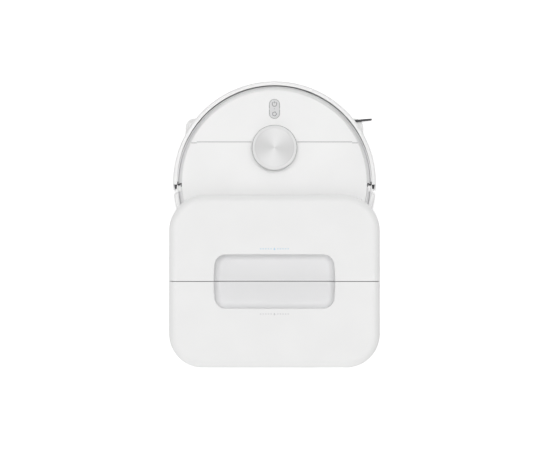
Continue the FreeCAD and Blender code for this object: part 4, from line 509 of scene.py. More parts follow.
# %% [markdown]
# ## Tools for shaping pieces
# Every new piece starts as a primitive at its size and place and is then shaped with edit-mode operators.
# Operators act on whatever is selected, so each piece starts from an empty selection and the faces or
# edges to change are picked by where they lie. A finished piece keeps its place in its mesh, with its
# object at the origin, just as the drawn parts do.

# %% start a piece


def fresh_start():
    """Object mode with nothing selected."""
    if bpy.context.object and bpy.context.object.mode != "OBJECT":
        bpy.ops.object.mode_set(mode="OBJECT")
    bpy.ops.object.select_all(action="DESELECT")


def take(piece):
    """Object mode with just one piece selected and active."""
    fresh_start()
    piece.select_set(True)
    bpy.context.view_layer.objects.active = piece


def open_piece(name):
    """Names the primitive just added, puts its place into its mesh and opens it for editing."""
    piece = bpy.context.object
    piece.name = piece.data.name = name
    bpy.ops.object.transform_apply(location=True, rotation=True, scale=True)
    bpy.ops.object.mode_set(mode="EDIT")
    return piece


def start_block(name, place, size):
    """A cube stretched to a size at its place, open for editing."""
    fresh_start()
    bpy.ops.mesh.primitive_cube_add(size=1, location=place)
    bpy.context.object.scale = size
    return open_piece(name)


print("starting tools ready")

# %% pick and change what lies in a place
DOUBLE = 0.01 * MM


def pick_all():
    """Selects all of the piece that is open for editing."""
    bpy.ops.mesh.select_all(action="SELECT")


def pick(piece, kind, test):
    """Selects just the vertices, edges or faces whose middle passes the test."""
    bpy.ops.mesh.select_mode(type=kind)
    bpy.ops.mesh.select_all(action="DESELECT")
    mesh = bmesh.from_edit_mesh(piece.data)
    for item in {"VERT": mesh.verts, "EDGE": mesh.edges, "FACE": mesh.faces}[kind]:
        corners = [item] if kind == "VERT" else item.verts
        centre = sum((vert.co for vert in corners), Vector()) / len(corners)
        if test(centre, item):
            item.select_set(True)
    bmesh.update_edit_mesh(piece.data)


def runs_along(axis, least):
    """A test for edges that run along one axis (0, 1 or 2) for more than a length."""
    return lambda c, e: abs(e.verts[0].co[axis] - e.verts[1].co[axis]) > least


def round_edges(piece, test, radius, segments=2):
    """Rounds the edges that pass the test."""
    pick(piece, "EDGE", test)
    bpy.ops.mesh.bevel(offset=radius, segments=segments)


def pull(offset):
    """Extrudes what is selected by an offset."""
    bpy.ops.mesh.extrude_region_move(TRANSFORM_OT_translate={"value": tuple(offset)})


def open_verts(piece):
    """The vertices of a piece in edit mode, one by one; the mesh is updated after the last."""
    mesh = bmesh.from_edit_mesh(piece.data)
    yield from mesh.verts
    bmesh.update_edit_mesh(piece.data)


def outward():
    """Merges doubles, turns all normals outwards and leaves edit mode."""
    pick_all()
    bpy.ops.mesh.remove_doubles(threshold=DOUBLE)
    bpy.ops.mesh.normals_make_consistent(inside=False)
    bpy.ops.object.mode_set(mode="OBJECT")


print("changing tools ready, doubles within", DOUBLE)

# %% [markdown]
# ## Tools for finishing pieces
# A modifier works on a whole piece, and once it is applied the mesh holds the shape. What repeats is
# shaped once and copied, each copy with a mesh of its own, and what belongs to one part is joined. Last, a
# piece gets its shading and finish and the body that it rides on.

# %% modifiers, copies and joins


def finish_modifier(piece, kind, **settings):
    """Adds one modifier with its settings and applies it."""
    take(piece)
    modifier = piece.modifiers.new(kind.lower(), kind)
    for key, value in settings.items():
        setattr(modifier, key, value)
    bpy.ops.object.modifier_apply(modifier=modifier.name)


def soften(piece, width, segments=2):
    """Rounds a piece's sharp edges, as moulded and pressed parts are."""
    finish_modifier(piece, "BEVEL", width=width, segments=segments, limit_method="ANGLE")


def copy_piece(piece, name, move):
    """A copy with a mesh of its own, moved in the mesh."""
    copy = piece.copy()
    copy.data = piece.data.copy()
    copy.name = copy.data.name = name
    copy.data.transform(move)
    if move.is_negative:
        copy.data.flip_normals()
    scene.collection.objects.link(copy)
    return copy


def join_pieces(name, pieces):
    """Joins pieces that belong to one part into a single object."""
    fresh_start()
    for piece in pieces:
        piece.select_set(True)
    bpy.context.view_layer.objects.active = pieces[0]
    bpy.ops.object.join()
    joined = bpy.context.object
    joined.name = joined.data.name = name
    return joined


print("finishing tools ready")

# %% close a piece


def close_piece(piece, finish, body, slot, smooth=35):
    """Back to object mode, smooth faces, a finish, and the body that the piece belongs to; the slot is not
    used.
    """
    take(piece)
    bpy.ops.object.shade_smooth_by_angle(angle=math.radians(smooth))
    piece.data.materials.clear()
    piece.data.materials.append(FINISH[finish])
    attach(piece, body)


print("closing tool ready")

# %% [markdown]
# ## Gap lip
# The bumper floats, so there is a gap round the body. A soft lip on the body closes it as far as the
# bumper's travel allows and keeps dust out: wide at the sides, where the bumper only slides past, and
# narrow and lower in front, where it presses in. It is a small rectangle swung about the body's centre,
# and its outer edge is then moved out by an amount that grows from the front to the sides.

# %% a rectangle swung about an upright line


def arc_strip(name, centre, inner, outer, z_low, z_high, start, sweep, steps):
    """A rectangle swung about a vertical axis: angles in degrees, from +X towards +Y."""
    fresh_start()
    heading = math.radians(start)
    side = Vector((math.cos(heading), math.sin(heading), 0))
    centre = Vector((centre.x, centre.y, 0))
    middle_point = centre + side * (inner + outer) / 2 + Vector((0, 0, (z_low + z_high) / 2))
    bpy.ops.mesh.primitive_plane_add(size=1, location=middle_point, rotation=(math.pi / 2, 0, heading))
    bpy.context.object.scale = (outer - inner, z_high - z_low, 1)
    piece = open_piece(name)
    pick_all()
    turn = -math.radians(sweep)     # spin counts the other way
    bpy.ops.mesh.spin(steps=steps, angle=turn, center=centre, axis=(0, 0, 1))
    outward()
    return piece


print("swinging tool ready")

# %% lip round the body
LIP_TOP = DECK_Z - 0.6 * MM
LIP_HEIGHT = 9 * MM
FRONT_LIP = 0.48 * MM
RING_SHIFT = 1.4 * MM       # how far the ring's middle lies ahead of the body's
SIDE_LIP = 1.6 * MM
LIP_DIP = 2.0 * MM


def lip_edge(lip):
    """Moves a swung lip's outer edge out, and its top up, from the front towards the sides."""
    bpy.ops.object.mode_set(mode="EDIT")
    for vert in open_verts(lip):
        flat = Vector((vert.co.x - BODY.x, vert.co.y - BODY.y))
        forward, backward = max(0.0, -flat.y / flat.length), max(0.0, flat.y / flat.length)
        if flat.length > BODY_R:
            radius = BODY_R + SIDE_LIP - (SIDE_LIP - FRONT_LIP) * forward - RING_SHIFT * backward
            vert.co.x = BODY.x + flat.x / flat.length * radius
            vert.co.y = BODY.y + flat.y / flat.length * radius
        if vert.co.z > LIP_TOP - LIP_HEIGHT / 2:
            vert.co.z -= LIP_DIP * forward ** 2
    bpy.ops.object.mode_set(mode="OBJECT")


LIP_SWEEPS = ((-179, 178, 160), (4, 50, 40), (126, 50, 40))
lips = []
for first, sweep, steps in LIP_SWEEPS:
    lips.append(arc_strip("gap_lip", BODY, BODY_R - 0.3 * MM, BODY_R + FRONT_LIP, LIP_TOP - LIP_HEIGHT,
                          LIP_TOP, first, sweep, steps))
    lip_edge(lips[-1])
gap_lips = join_pieces("gap_lips", lips)
close_piece(gap_lips, "lip_grey", "robot", "inner_grey")
print("lips", len(lips), "top", round(LIP_TOP, 4))

# %% [markdown]
# ## Seals on the deck
# A thin dark cord of rubber lies in the joint between the two covers and another round the turret's cap,
# and a white one fills the ring round the turret's foot, so that water stays out. The straight ones are
# cubes with softened edges, laid just under the deck's surface and stepped back where the joint steps;
# the round ones are small rectangles swung about the turret's middle. The cap's one guards the edge that
# meets furniture, so it sinks into the cap behind.

# %% seal in the joint between the covers
TURRET = middle("turret_cap")
TURRET_R = high("turret_cap").x
JOINT_Y = low("rear_cover").y - 0.5 * MM
JOINT_TOP = high("rear_cover").z - 0.7 * MM
JOG_Y = high("front_cover").y + 0.5 * MM
JOG_X = min(abs(vert.co.x) for vert in NODES["front_cover"].data.vertices if vert.co.y > JOINT_Y + 0.2 * MM)
SEAL_WIDE, SEAL_DEEP = 0.98 * MM, 1.8 * MM
SEAL_RUNS = ((TURRET_R + 0.3 * MM, JOG_X, JOINT_Y), (JOG_X, high("front_cover").x - 0.8 * MM, JOG_Y))
joint_seals = []
for side in (1, -1):
    for start, end, y in SEAL_RUNS:
        seal = start_block("joint_seal", (side * (start + end) / 2, y, JOINT_TOP - SEAL_DEEP / 2),
                           (end - start, SEAL_WIDE, SEAL_DEEP))
        round_edges(seal, lambda c, e: c.z > JOINT_TOP - 0.1 * MM and abs(c.y - y) > 0.4 * MM, 0.2 * MM)
        bpy.ops.object.mode_set(mode="OBJECT")
        joint_seals.append(seal)
cover_seal = join_pieces("cover_seal", joint_seals)
close_piece(cover_seal, "seal_grey", "robot", "rubber_dark")
print("cover seal", len(joint_seals), "jog at", round(JOG_X, 4), round(JOG_Y - JOINT_Y, 4))

# %% seals round the turret's cap and foot
CAP_TOP_Z = high("turret_cap").z
SEAL_SINK = 1.0 * MM
SINK_FROM, SINK_OVER = 95, 45       # degrees from the front where the seal starts to sink, and over how many
turret_seal = arc_strip("turret_seal", TURRET, TURRET_R - 0.95 * MM, TURRET_R - 0.25 * MM,
                        CAP_TOP_Z - 1.8 * MM, CAP_TOP_Z - 0.1 * MM, 0, 360, 96)
soften(turret_seal, 0.12 * MM)
bpy.ops.object.mode_set(mode="EDIT")
for vert in open_verts(turret_seal):
    off_front = math.degrees((vert.co - TURRET).xy.angle(Vector((0, -1))))
    vert.co.z -= SEAL_SINK * min(1.0, max(0.0, (off_front - SINK_FROM) / SINK_OVER))
close_piece(turret_seal, "seal_grey", "robot", "rubber_dark")
HOLE_R = min((vert.co - TURRET).xy.length for vert in NODES["rear_cover"].data.vertices)
foot_seal = arc_strip("turret_foot_seal", TURRET, TURRET_R - 0.2 * MM, HOLE_R - 0.05 * MM,
                      high("rear_cover").z - 1.6 * MM, high("rear_cover").z - 0.1 * MM, 0, 360, 96)
soften(foot_seal, 0.1 * MM)
close_piece(foot_seal, "shell_white", "robot", "white_shell")
print("turret seal", round(TURRET_R, 4), "cover's hole", round(HOLE_R, 4))

# %% [markdown]
# ## Bumper end seals
# Each end of the bumper is closed by a dark rubber cap with a tongue that reaches back. Opposite it, a dark
# strip lies across the body's shoulder as painted shade for the shadow in the notch, and a white pad stands
# behind. A cap is a cube at the ring's section whose rear face is inset and pulled out into the tongue. A
# bevel rounds it as moulded rubber is rounded. All three are shaped on the left and copied to the right
# through a mirror, which turns a mesh inside out, so the copy's faces are flipped back.

# %% rubber caps on the bumper's ends


def print_box(piece):
    """Prints a piece's name and the two corners of its box, in millimetres."""
    print(piece.name, [[round(v / MM, 1) for v in piece.bound_box[k]] for k in (0, 6)])


def both_sides(piece, finish, body, slot):
    """Finishes a closed piece of the left side, turned right way out, and its mirrored copy on the right."""
    mesh = bmesh.new()
    mesh.from_mesh(piece.data)
    if mesh.calc_volume(signed=True) < 0:
        piece.data.flip_normals()
    mesh.free()
    copy = copy_piece(piece, piece.name.replace("_left", "_right"), MIRRORED)
    for one in (piece, copy):
        close_piece(one, finish, body, slot)
        print_box(one)


MIRRORED = Matrix.Scale(-1, 4, (1, 0, 0))
RING_Z = high("bumper").z
BUMPER_END_Y = ROBOT.y + 3.5 * MM
CAP_DEPTH, CAP_WIDTH, CAP_X = 1.5 * MM, 3.0 * MM, 170.9 * MM
CAP_LOW, CAP_HIGH = 24 * MM, RING_Z - MM
TONGUE_LONG, TONGUE_X = 5.4 * MM, 170.6 * MM
cap_mid = Vector((CAP_X, BUMPER_END_Y + CAP_DEPTH / 2, (CAP_LOW + CAP_HIGH) / 2))
cap = start_block("bumper_end_cap_left", cap_mid, (CAP_WIDTH, CAP_DEPTH, CAP_HIGH - CAP_LOW))
pick(cap, "FACE", lambda c, f: f.normal.y > 0.9)
bpy.ops.mesh.inset(thickness=0.3 * MM)
pull((0, TONGUE_LONG, 0))
bpy.ops.transform.resize(value=(0.6, 1, 1), center_override=(TONGUE_X, 0, cap_mid.z))
outward()
soften(cap, 0.45 * MM)
both_sides(cap, "rubber_dark", "bumper", "rubber_dark")

# %% dark strip of painted shade across the shoulder beside each end
SHADE_STRIP_MID = Vector((163.1 * MM, ROBOT.y + 2.7 * MM, 74.2 * MM))
SHOULDER_ROUND = 7.5 * MM
# painted shade: a dark rubber strip stands where the notch beside the bumper's end is in shadow
shade_strip = start_block("notch_lining_left", SHADE_STRIP_MID, (7.0 * MM, 2.6 * MM, 10 * MM))
pick_all()
bpy.ops.mesh.subdivide(number_cuts=4)
for vert in open_verts(shade_strip):
    out = vert.co.x - (BODY_R - 6.1 * MM)
    if vert.co.z > 79 * MM and out > 0:
        drop = SHOULDER_ROUND - math.sqrt(SHOULDER_ROUND ** 2 - min(out, 7.49 * MM) ** 2)
        vert.co.z = DECK_Z + 0.5 * MM - drop
    vert.co.y += (vert.co.x - SHADE_STRIP_MID.x) * 0.34
pick(shade_strip, "FACE", lambda c, f: f.normal.y > 0.8 and c.x < 161.3 * MM and c.z > 66 * MM)
pull((0, 4.2 * MM, 0))
outward()
soften(shade_strip, 0.25 * MM)
both_sides(shade_strip, "rubber_dark", "robot", "rubber_dark")

# %% white pads in the notches


def sink_face(piece, test, rim, offset):
    """Leaves a rim round a face that passes the test, and moves what lies inside it."""
    pick(piece, "FACE", test)
    bpy.ops.mesh.inset(thickness=rim)
    bpy.ops.transform.translate(value=offset)


PAD_MID = Vector((163.2 * MM, ROBOT.y + 10.4 * MM, 66 * MM))
pad = start_block("notch_pad_left", PAD_MID, (6.0 * MM, 10.6 * MM, 18 * MM))
sink_face(pad, lambda c, f: f.normal.z > 0.9, 0.8 * MM, (0, 0, 0.6 * MM))
outward()
soften(pad, 0.6 * MM, 3)
both_sides(pad, "pad_white", "robot", "white_shell")

# %% [markdown]
# ## Signs on the button
# The rocker has two signs moulded into it: a power sign at the front and a house, for the way home, at
# the rear, with a small dot between them. Strokes are thin strips that stand a tenth of a millimetre
# proud. An arc is swung, and a straight-sided outline is a primitive whose middle is inset and removed.

# %% strokes for the signs
BUTTON = middle("button_rocker")
BUTTON_TOP = high("button_rocker").z
STROKE, SIGN_R = 0.95 * MM, 3.4 * MM
SIGN_LOW, SIGN_HIGH = BUTTON_TOP - 0.1 * MM, BUTTON_TOP + 0.1 * MM


def start_plate(name, place, radius, corners, turn=0.0):
    """A flat polygon or disc, open for editing."""
    fresh_start()
    bpy.ops.mesh.primitive_circle_add(vertices=corners, radius=radius, fill_type="NGON", location=place,
                                      rotation=(0, 0, math.radians(turn)))
    return open_piece(name)


def bar(name, centre, width, length, z_low, z_high):
    """A straight stroke with softened ends."""
    piece = start_block(name, (centre.x, centre.y, (z_low + z_high) / 2), (width, length, z_high - z_low))
    round_edges(piece, runs_along(2, (z_high - z_low) / 2), min(width, length) * 0.35, 3)
    bpy.ops.object.mode_set(mode="OBJECT")
    return piece


def outline(name, centre, radius, corners, turn, stroke, z_low, z_high):
    """A closed outline with straight sides: a flat polygon, its middle inset and removed, then raised."""
    piece = start_plate(name, (centre.x, centre.y, z_low), radius, corners, turn)
    pick_all()
    bpy.ops.mesh.inset(thickness=stroke)
    bpy.ops.mesh.delete(type="FACE")
    pick_all()
    pull((0, 0, z_high - z_low))
    outward()
    return piece


POWER = BUTTON + Vector((0, -8.2 * MM, 0))
HOUSE = BUTTON + Vector((0, 8.8 * MM, 0))
signs = [
    arc_strip("power_ring", POWER, SIGN_R, SIGN_R + STROKE, SIGN_LOW, SIGN_HIGH, -60, 300, 44),
    bar("power_bar", POWER + Vector((0, -3.0 * MM, 0)), STROKE, 3.6 * MM, SIGN_LOW, SIGN_HIGH),
    outline("house", HOUSE, 4.3 * MM, 5, 18, STROKE, SIGN_LOW, SIGN_HIGH),
    arc_strip("middle_dot", BUTTON, 0.01 * MM, 0.6 * MM, SIGN_LOW, SIGN_HIGH, 0, 360, 20),
]
button_signs = join_pieces("button_signs", signs)
close_piece(button_signs, "sign_grey", "button", "button_grey")
print("signs on the button", len(signs))

# %% [markdown]
# ## Button's rim
# A thin raised rim runs round the rocker just inside its edge. It follows the rocker's own outline: two
# straight sides joined by two half circles, so it is swung twice and bridged by two bars.

# %% rim inside the button's edge
face = [v.co for v in NODES["button_rocker"].data.vertices if v.co.z > BUTTON_TOP - 0.3 * MM]
half_w = max(abs(point.x - BUTTON.x) for point in face)
half_l = max(abs(point.y - BUTTON.y) for point in face)
RIM_OUT = half_w - 0.8 * MM
RIM_IN = RIM_OUT - 0.7 * MM
turn_y = half_l - half_w
rim = []
for side, start in ((-1, 180), (1, 0)):
    turn = BUTTON + Vector((0, side * turn_y, 0))
    rim.append(arc_strip("rim_end", turn, RIM_IN, RIM_OUT, SIGN_LOW, SIGN_HIGH, start, 180, 32))
for side in (-1, 1):
    place = BUTTON + Vector((side * (RIM_IN + RIM_OUT) / 2, 0, 0))
    rim.append(bar("rim_side", place, RIM_OUT - RIM_IN, 2 * turn_y + 0.4 * MM, SIGN_LOW, SIGN_HIGH))
button_rim = join_pieces("button_rim", rim)
close_piece(button_rim, "button_grey", "button", "button_grey")
print("rim pieces", len(rim), "turn at", round(turn_y, 4))

# %% [markdown]
# ## Marks for clean and dirty water
# The two lids are alike, so each tank carries a small plain mark beside the pocket: a drop between two
# rows of short dashes, blue for clean water and grey for dirty. They are printed on the real thing, so
# they stand only a few hundredths of a millimetre high. One mark is made at the seam, and each lid gets a
# copy of it.

# %% a drop and dashes on each lid
MARK_LOW, MARK_HIGH = TOP_Z - 0.05 * MM, TOP_Z + 0.03 * MM


def drop_mark(name, centre, radius):
    """A water drop: a flat circle whose foremost corner is drawn out to a point."""
    piece = start_plate(name, (centre.x, centre.y, MARK_LOW), radius, 28)
    pick(piece, "VERT", lambda c, v: (c - centre).xy.length > radius * 0.9 and c.y < centre.y - radius * 0.99)
    bpy.ops.transform.translate(value=(0, -radius * 0.95, 0), use_proportional_edit=True,
                                proportional_edit_falloff="SHARP", proportional_size=radius * 1.3)
    pick_all()
    pull((0, 0, MARK_HIGH - MARK_LOW))
    outward()
    return piece


MARK_TO_SEAM = 52.4 * MM
DROP_R = 1.5 * MM
FIRST_DASH, DASH_PITCH = 5.4 * MM, 4.2 * MM
parts = [drop_mark("drop", Vector((0, SEAM_Y + 0.6 * MM, 0)), DROP_R)]
for side in (-1, 1):
    for step in range(5):
        place = Vector((side * (FIRST_DASH + DASH_PITCH * step), SEAM_Y, 0))
        parts.append(bar("dash", place, 2.8 * MM, 1.3 * MM, MARK_LOW, MARK_HIGH))
mark = join_pieces("lid_mark", parts)
for body, finish, side in (("clean_tank", "mark_blue", -1), ("dirty_tank", "mark_grey", 1)):
    copy = copy_piece(mark, body + "_mark", Matrix.Translation((0, side * MARK_TO_SEAM, 0)))
    close_piece(copy, finish, body, "white_lid")
bpy.data.objects.remove(mark)
print("marks of", len(parts), "parts each")

# %% [markdown]
# ## Side brush bristles
# Each arm of the side brush is a bundle of nylon filaments held in a short sleeve. One filament is
# modelled as a thin cylinder cut along its length, bent a little by moving its outer rings, and narrowed
# at the tip. It is then copied into bundles with small seeded differences, because a bundle of equal
# copies looks like a rod. The bundles lean a little ahead of the drawn arms, as bristles set by use do.

# %% one filament
random.seed(11)
HUB = middle("side_brush_hub")
HUB_R = (high("side_brush_hub").x - low("side_brush_hub").x) / 2
BRISTLE_LOW, BRISTLE_HIGH = low("side_brush_bristles").z, high("side_brush_bristles").z
BRISTLE_MESH = NODES["side_brush_bristles"].data
REACH = max((vert.co - HUB).xy.length for vert in BRISTLE_MESH.vertices)
FARTHEST = max(BRISTLE_MESH.vertices, key=lambda vert: -vert.co.x).co - HUB
ARM_SET = math.radians(2.4)
FIRST_ARM = math.atan2(FARTHEST.y, FARTHEST.x) + ARM_SET
HEADINGS = [FIRST_ARM + arm * math.tau / 3 for arm in range(3)]
FILAMENT = 0.38 * MM


def start_rod(name, place, radius, length, corners, ends="NGON"):
    """A cylinder that lies along X, open for editing."""
    fresh_start()
    bpy.ops.mesh.primitive_cylinder_add(vertices=corners, radius=radius, depth=length, end_fill_type=ends,
                                        location=place, rotation=(0, math.pi / 2, 0))
    return open_piece(name)


def filament(length):
    """A filament along +X from the origin, thinner and lower at its tip."""
    piece = start_rod("filament", (length / 2, 0, 0), FILAMENT, length, 5, "TRIFAN")
    pick_all()
    for part in range(1, 6):
        bpy.ops.mesh.bisect(plane_co=(length * part / 6, 0, 0), plane_no=(1, 0, 0))
        pick_all()
    for part in range(3, 7):
        pick(piece, "VERT", lambda c, v: c.x > length * (part / 6) - 0.1 * MM)
        bpy.ops.transform.translate(value=(0, -0.08 * MM * (part - 2), -0.12 * MM * (part - 2)))
    pick(piece, "VERT", lambda c, v: c.x > length * 0.99)
    bpy.ops.transform.resize(value=(1, 0.5, 0.5))
    bpy.ops.object.mode_set(mode="OBJECT")
    return piece


one = filament(REACH - HUB_R + 4 * MM)
print("filament", len(one.data.polygons), "faces, first arm", round(math.degrees(FIRST_ARM), 1), "degrees")

# %% three bundles of filaments
STRANDS = 26
bundle = []
lift = Matrix.Translation((HUB.x, HUB.y, (BRISTLE_LOW + BRISTLE_HIGH) / 2 + 0.45 * MM))
for heading in HEADINGS:
    for _ in range(STRANDS):
        sweep = random.uniform(-1, 1)
        root = Matrix.Translation((HUB_R - 4.5 * MM, sweep * 2.0 * MM, random.uniform(-0.9, 0.9) * MM))
        lean = Matrix.Rotation(math.radians(-sweep * 0.6 + random.uniform(-0.5, 0.5)), 4, "Z")
        short = Matrix.Diagonal((random.uniform(0.89, 0.94), 1, 1, 1))
        move = lift @ Matrix.Rotation(heading, 4, "Z") @ root @ lean @ short
        bundle.append(copy_piece(one, "strand", move))
bpy.data.objects.remove(one)
bristle_bundles = join_pieces("bristle_bundles", bundle)
close_piece(bristle_bundles, "bristle", "side_brush", "bristle", 60)
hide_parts("side_brush_bristles")
print("filaments", len(bundle), "faces", len(bristle_bundles.data.polygons))

# %% sleeves that hold the bundles
SLEEVE_Z, SLEEVE_R, SLEEVE_LONG = 7.2 * MM, 2.5 * MM, 11 * MM
sleeve = start_rod("sleeve", (HUB_R + 3.5 * MM, 0, 0), SLEEVE_R, SLEEVE_LONG, 16)
pick(sleeve, "FACE", lambda c, f: f.normal.x > 0.9)
bpy.ops.mesh.inset(thickness=0.5 * MM)
pull((-2.0 * MM, 0, 0))
pick_all()
bpy.ops.transform.resize(value=(1, 1, 0.55), center_override=(0, 0, 0))
outward()
at_hub = Matrix.Translation((HUB.x, HUB.y, SLEEVE_Z))
turns = [Matrix.Rotation(heading, 4, "Z") for heading in HEADINGS]
sleeves = [copy_piece(sleeve, "sleeve_copy", at_hub @ turn) for turn in turns]
bpy.data.objects.remove(sleeve)
brush_sleeves = join_pieces("brush_sleeves", sleeves)
soften(brush_sleeves, 0.2 * MM)
close_piece(brush_sleeves, "dark_plastic", "side_brush", "dark_plastic")
print("sleeves", len(sleeves))

# %% [markdown]
# ## Roller fins
# The main roller sweeps with soft rubber fins set in chevrons, so that dirt is led to the middle. Half of
# one fin is a thin block along the roller, cut into short lengths and twisted about the axle, and a
# mirror makes the other half with the opposite twist. Six copies are turned about the axle.

# %% one chevron fin
ROLLER_LOW, ROLLER_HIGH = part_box("roller_fins")
AXLE = (ROLLER_LOW + ROLLER_HIGH) / 2
FIN_TIP = (ROLLER_HIGH.z - ROLLER_LOW.z) / 2 - 0.3 * MM
HALF_FIN = (ROLLER_HIGH.x - ROLLER_LOW.x) / 2 - 1 * MM
CORE_R, FIN_THICK = 11.5 * MM, 2.0 * MM
CUTS, TWIST, SCALLOPS, SCALLOP_DEEP = 24, 34, 6, 0.5 * MM
fin = start_block("fin", (HALF_FIN / 2, 0, (CORE_R + FIN_TIP) / 2), (HALF_FIN, FIN_THICK, FIN_TIP - CORE_R))
round_edges(fin, lambda c, e: abs(c.y) > 0.9 * MM and c.z > FIN_TIP - 0.1 * MM, 0.7 * MM)
for part in range(1, CUTS):
    pick_all()
    bpy.ops.mesh.bisect(plane_co=(HALF_FIN * part / CUTS, 0, 0), plane_no=(1, 0, 0))
for vert in open_verts(fin):
    along = vert.co.x / HALF_FIN
    if vert.co.z > FIN_TIP - 0.8 * MM:
        vert.co.z -= SCALLOP_DEEP * (0.5 - 0.5 * math.cos(along * math.tau * SCALLOPS))
    vert.co = Matrix.Rotation(math.radians(TWIST) * along, 4, "X") @ vert.co
outward()
finish_modifier(fin, "MIRROR", use_axis=(True, False, False), merge_threshold=0.00001)
print("fin tip", round(FIN_TIP, 4), "half length", round(HALF_FIN, 4))

# %% six fins round the roller
fins = []
for step in range(6):
    move = Matrix.Translation(AXLE) @ Matrix.Rotation(step * math.tau / 6, 4, "X")
    fins.append(copy_piece(fin, "fin_copy", move))
bpy.data.objects.remove(fin)
sleeve = start_rod("fin_sleeve", AXLE, CORE_R + 0.9 * MM, 2 * HALF_FIN, 40)
pick(sleeve, "FACE", lambda c, f: abs(f.normal.x) > 0.9)
bpy.ops.mesh.inset(thickness=1.4 * MM, use_individual=True)
bpy.ops.mesh.extrude_region_shrink_fatten(TRANSFORM_OT_shrink_fatten={"value": -1.0 * MM})
outward()
fins.append(sleeve)
roller_rubber = join_pieces("roller_rubber", fins)
close_piece(roller_rubber, "fin_rubber", "roller", "rubber_dark")
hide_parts("roller_fins")
print("roller rubber faces", len(roller_rubber.data.polygons))

# %% [markdown]
# ## Mop pads
# The two mop pads are round cushions of microfibre loops. The drawing holds their room as plain discs.
# Here each is a disc with a soft crowned edge, subdivided finely, whose surface is then pushed out by a
# cell pattern the size of the loops. A fringe of short loops runs round the rim, where the cloth is
# folded over.

# %% a crowned pad with a looped surface
LOOP = 3.2 * MM
PAD_RINGS, RIM_LOOPS = 14, 150
pile = bpy.data.textures.new("loop_pile", "VORONOI")
pile.noise_scale = LOOP


def mop_pad(name, node):
    """A padded disc in the room of its drawn solid."""
    low_corner, high_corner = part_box(node)
    centre = (low_corner + high_corner) / 2
    radius = (high_corner.x - low_corner.x) / 2 - 2.6 * MM
    thick = high_corner.z - low_corner.z
    pad = start_plate(name, (centre.x, centre.y, low_corner.z + 1.1 * MM), radius - 3.0 * MM, 96)
    pick_all()
    pull((0, 0, thick - 1.6 * MM))
    for top in (True, False):
        pick(pad, "FACE", lambda c, f: abs(f.normal.z) > 0.9 and (c.z > centre.z) == top)
        for _ in range(PAD_RINGS):
            bpy.ops.mesh.inset(thickness=(radius - 6 * MM) / (PAD_RINGS + 1))
        bpy.ops.mesh.poke()
    pick(pad, "FACE", lambda c, f: abs(f.normal.z) < 0.5)
    bpy.ops.mesh.subdivide(number_cuts=2)
    for vert in open_verts(pad):
        flat = Vector((vert.co.x - centre.x, vert.co.y - centre.y, 0))
        rise = abs(vert.co.z - centre.z) / (thick / 2)
        if flat.length > radius - 3.2 * MM:
            flat = flat.normalized() * (radius - 1.9 * MM * rise ** 2)
            vert.co.x, vert.co.y = centre.x + flat.x, centre.y + flat.y
        crown = 0.5 * MM * (1 - (flat.length / radius) ** 2)
        vert.co.z += crown if vert.co.z > centre.z + MM else -crown if vert.co.z < centre.z - MM else 0
    outward()
    finish_modifier(pad, "SUBSURF", levels=2, render_levels=2)
    finish_modifier(pad, "DISPLACE", texture=pile, texture_coords="LOCAL", strength=-1.1 * MM, mid_level=0.35)
    return pad, centre, radius


print("loops of", LOOP, "on the pads")

# %% one yarn loop, an arch bent from a thin tube
ARCH_R, YARN_R = 1.5 * MM, 0.5 * MM
fresh_start()
bpy.ops.mesh.primitive_circle_add(vertices=5, radius=YARN_R, fill_type="NOTHING",
                                  location=(ARCH_R, 0, 0), rotation=(math.pi / 2, 0, 0))
arch = open_piece("arch")
pick_all()
bpy.ops.mesh.spin(steps=7, angle=math.pi, center=(0, 0, 0), axis=(0, 0, 1))
outward()
print("yarn loop", len(arch.data.polygons), "faces")

# %% the two mop cloths


def rim_loops(centre, radius):
    """Copies of the yarn loop set round a rim, each a little out of line."""
    loops = []
    for step in range(RIM_LOOPS):
        heading = math.tau * step / RIM_LOOPS + random.uniform(-0.012, 0.012)
        base = Matrix.Translation(centre + Vector((0, 0, random.uniform(-1.0, 1.0) * MM)))
        move = (base @ Matrix.Rotation(heading, 4, "Z") @ Matrix.Translation((radius - 1.4 * MM, 0, 0))
                @ Matrix.Rotation(-math.pi / 2, 4, "Z") @ Matrix.Rotation(random.uniform(-0.7, 0.7), 4, "Y"))
        loops.append(copy_piece(arch, "loop", move))
    return loops


for node, body in (("left_mop_pad", "left_mop"), ("right_mop_pad", "right_mop")):
    pad, centre, radius = mop_pad(body + "_cloth", node)
    cloth = join_pieces(body + "_cloth", [pad] + rim_loops(centre, radius))
    close_piece(cloth, "mop_cloth", body, "mop_cloth", 180)
    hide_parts(node)
    print_box(cloth)
bpy.data.objects.remove(arch)

# %% [markdown]
# ## Dust bag
# Behind the front door stands the bag that catches the dust: soft pressed fibre with a folded gusset in
# each side, glued to a board collar that sits over the duct. A box would look like a block, so the box's
# sides are folded in, and a short cloth simulation then blows it up. Air with no weight gives the taut
# panels and the slack creases at their edges; the bay's walls cap it.

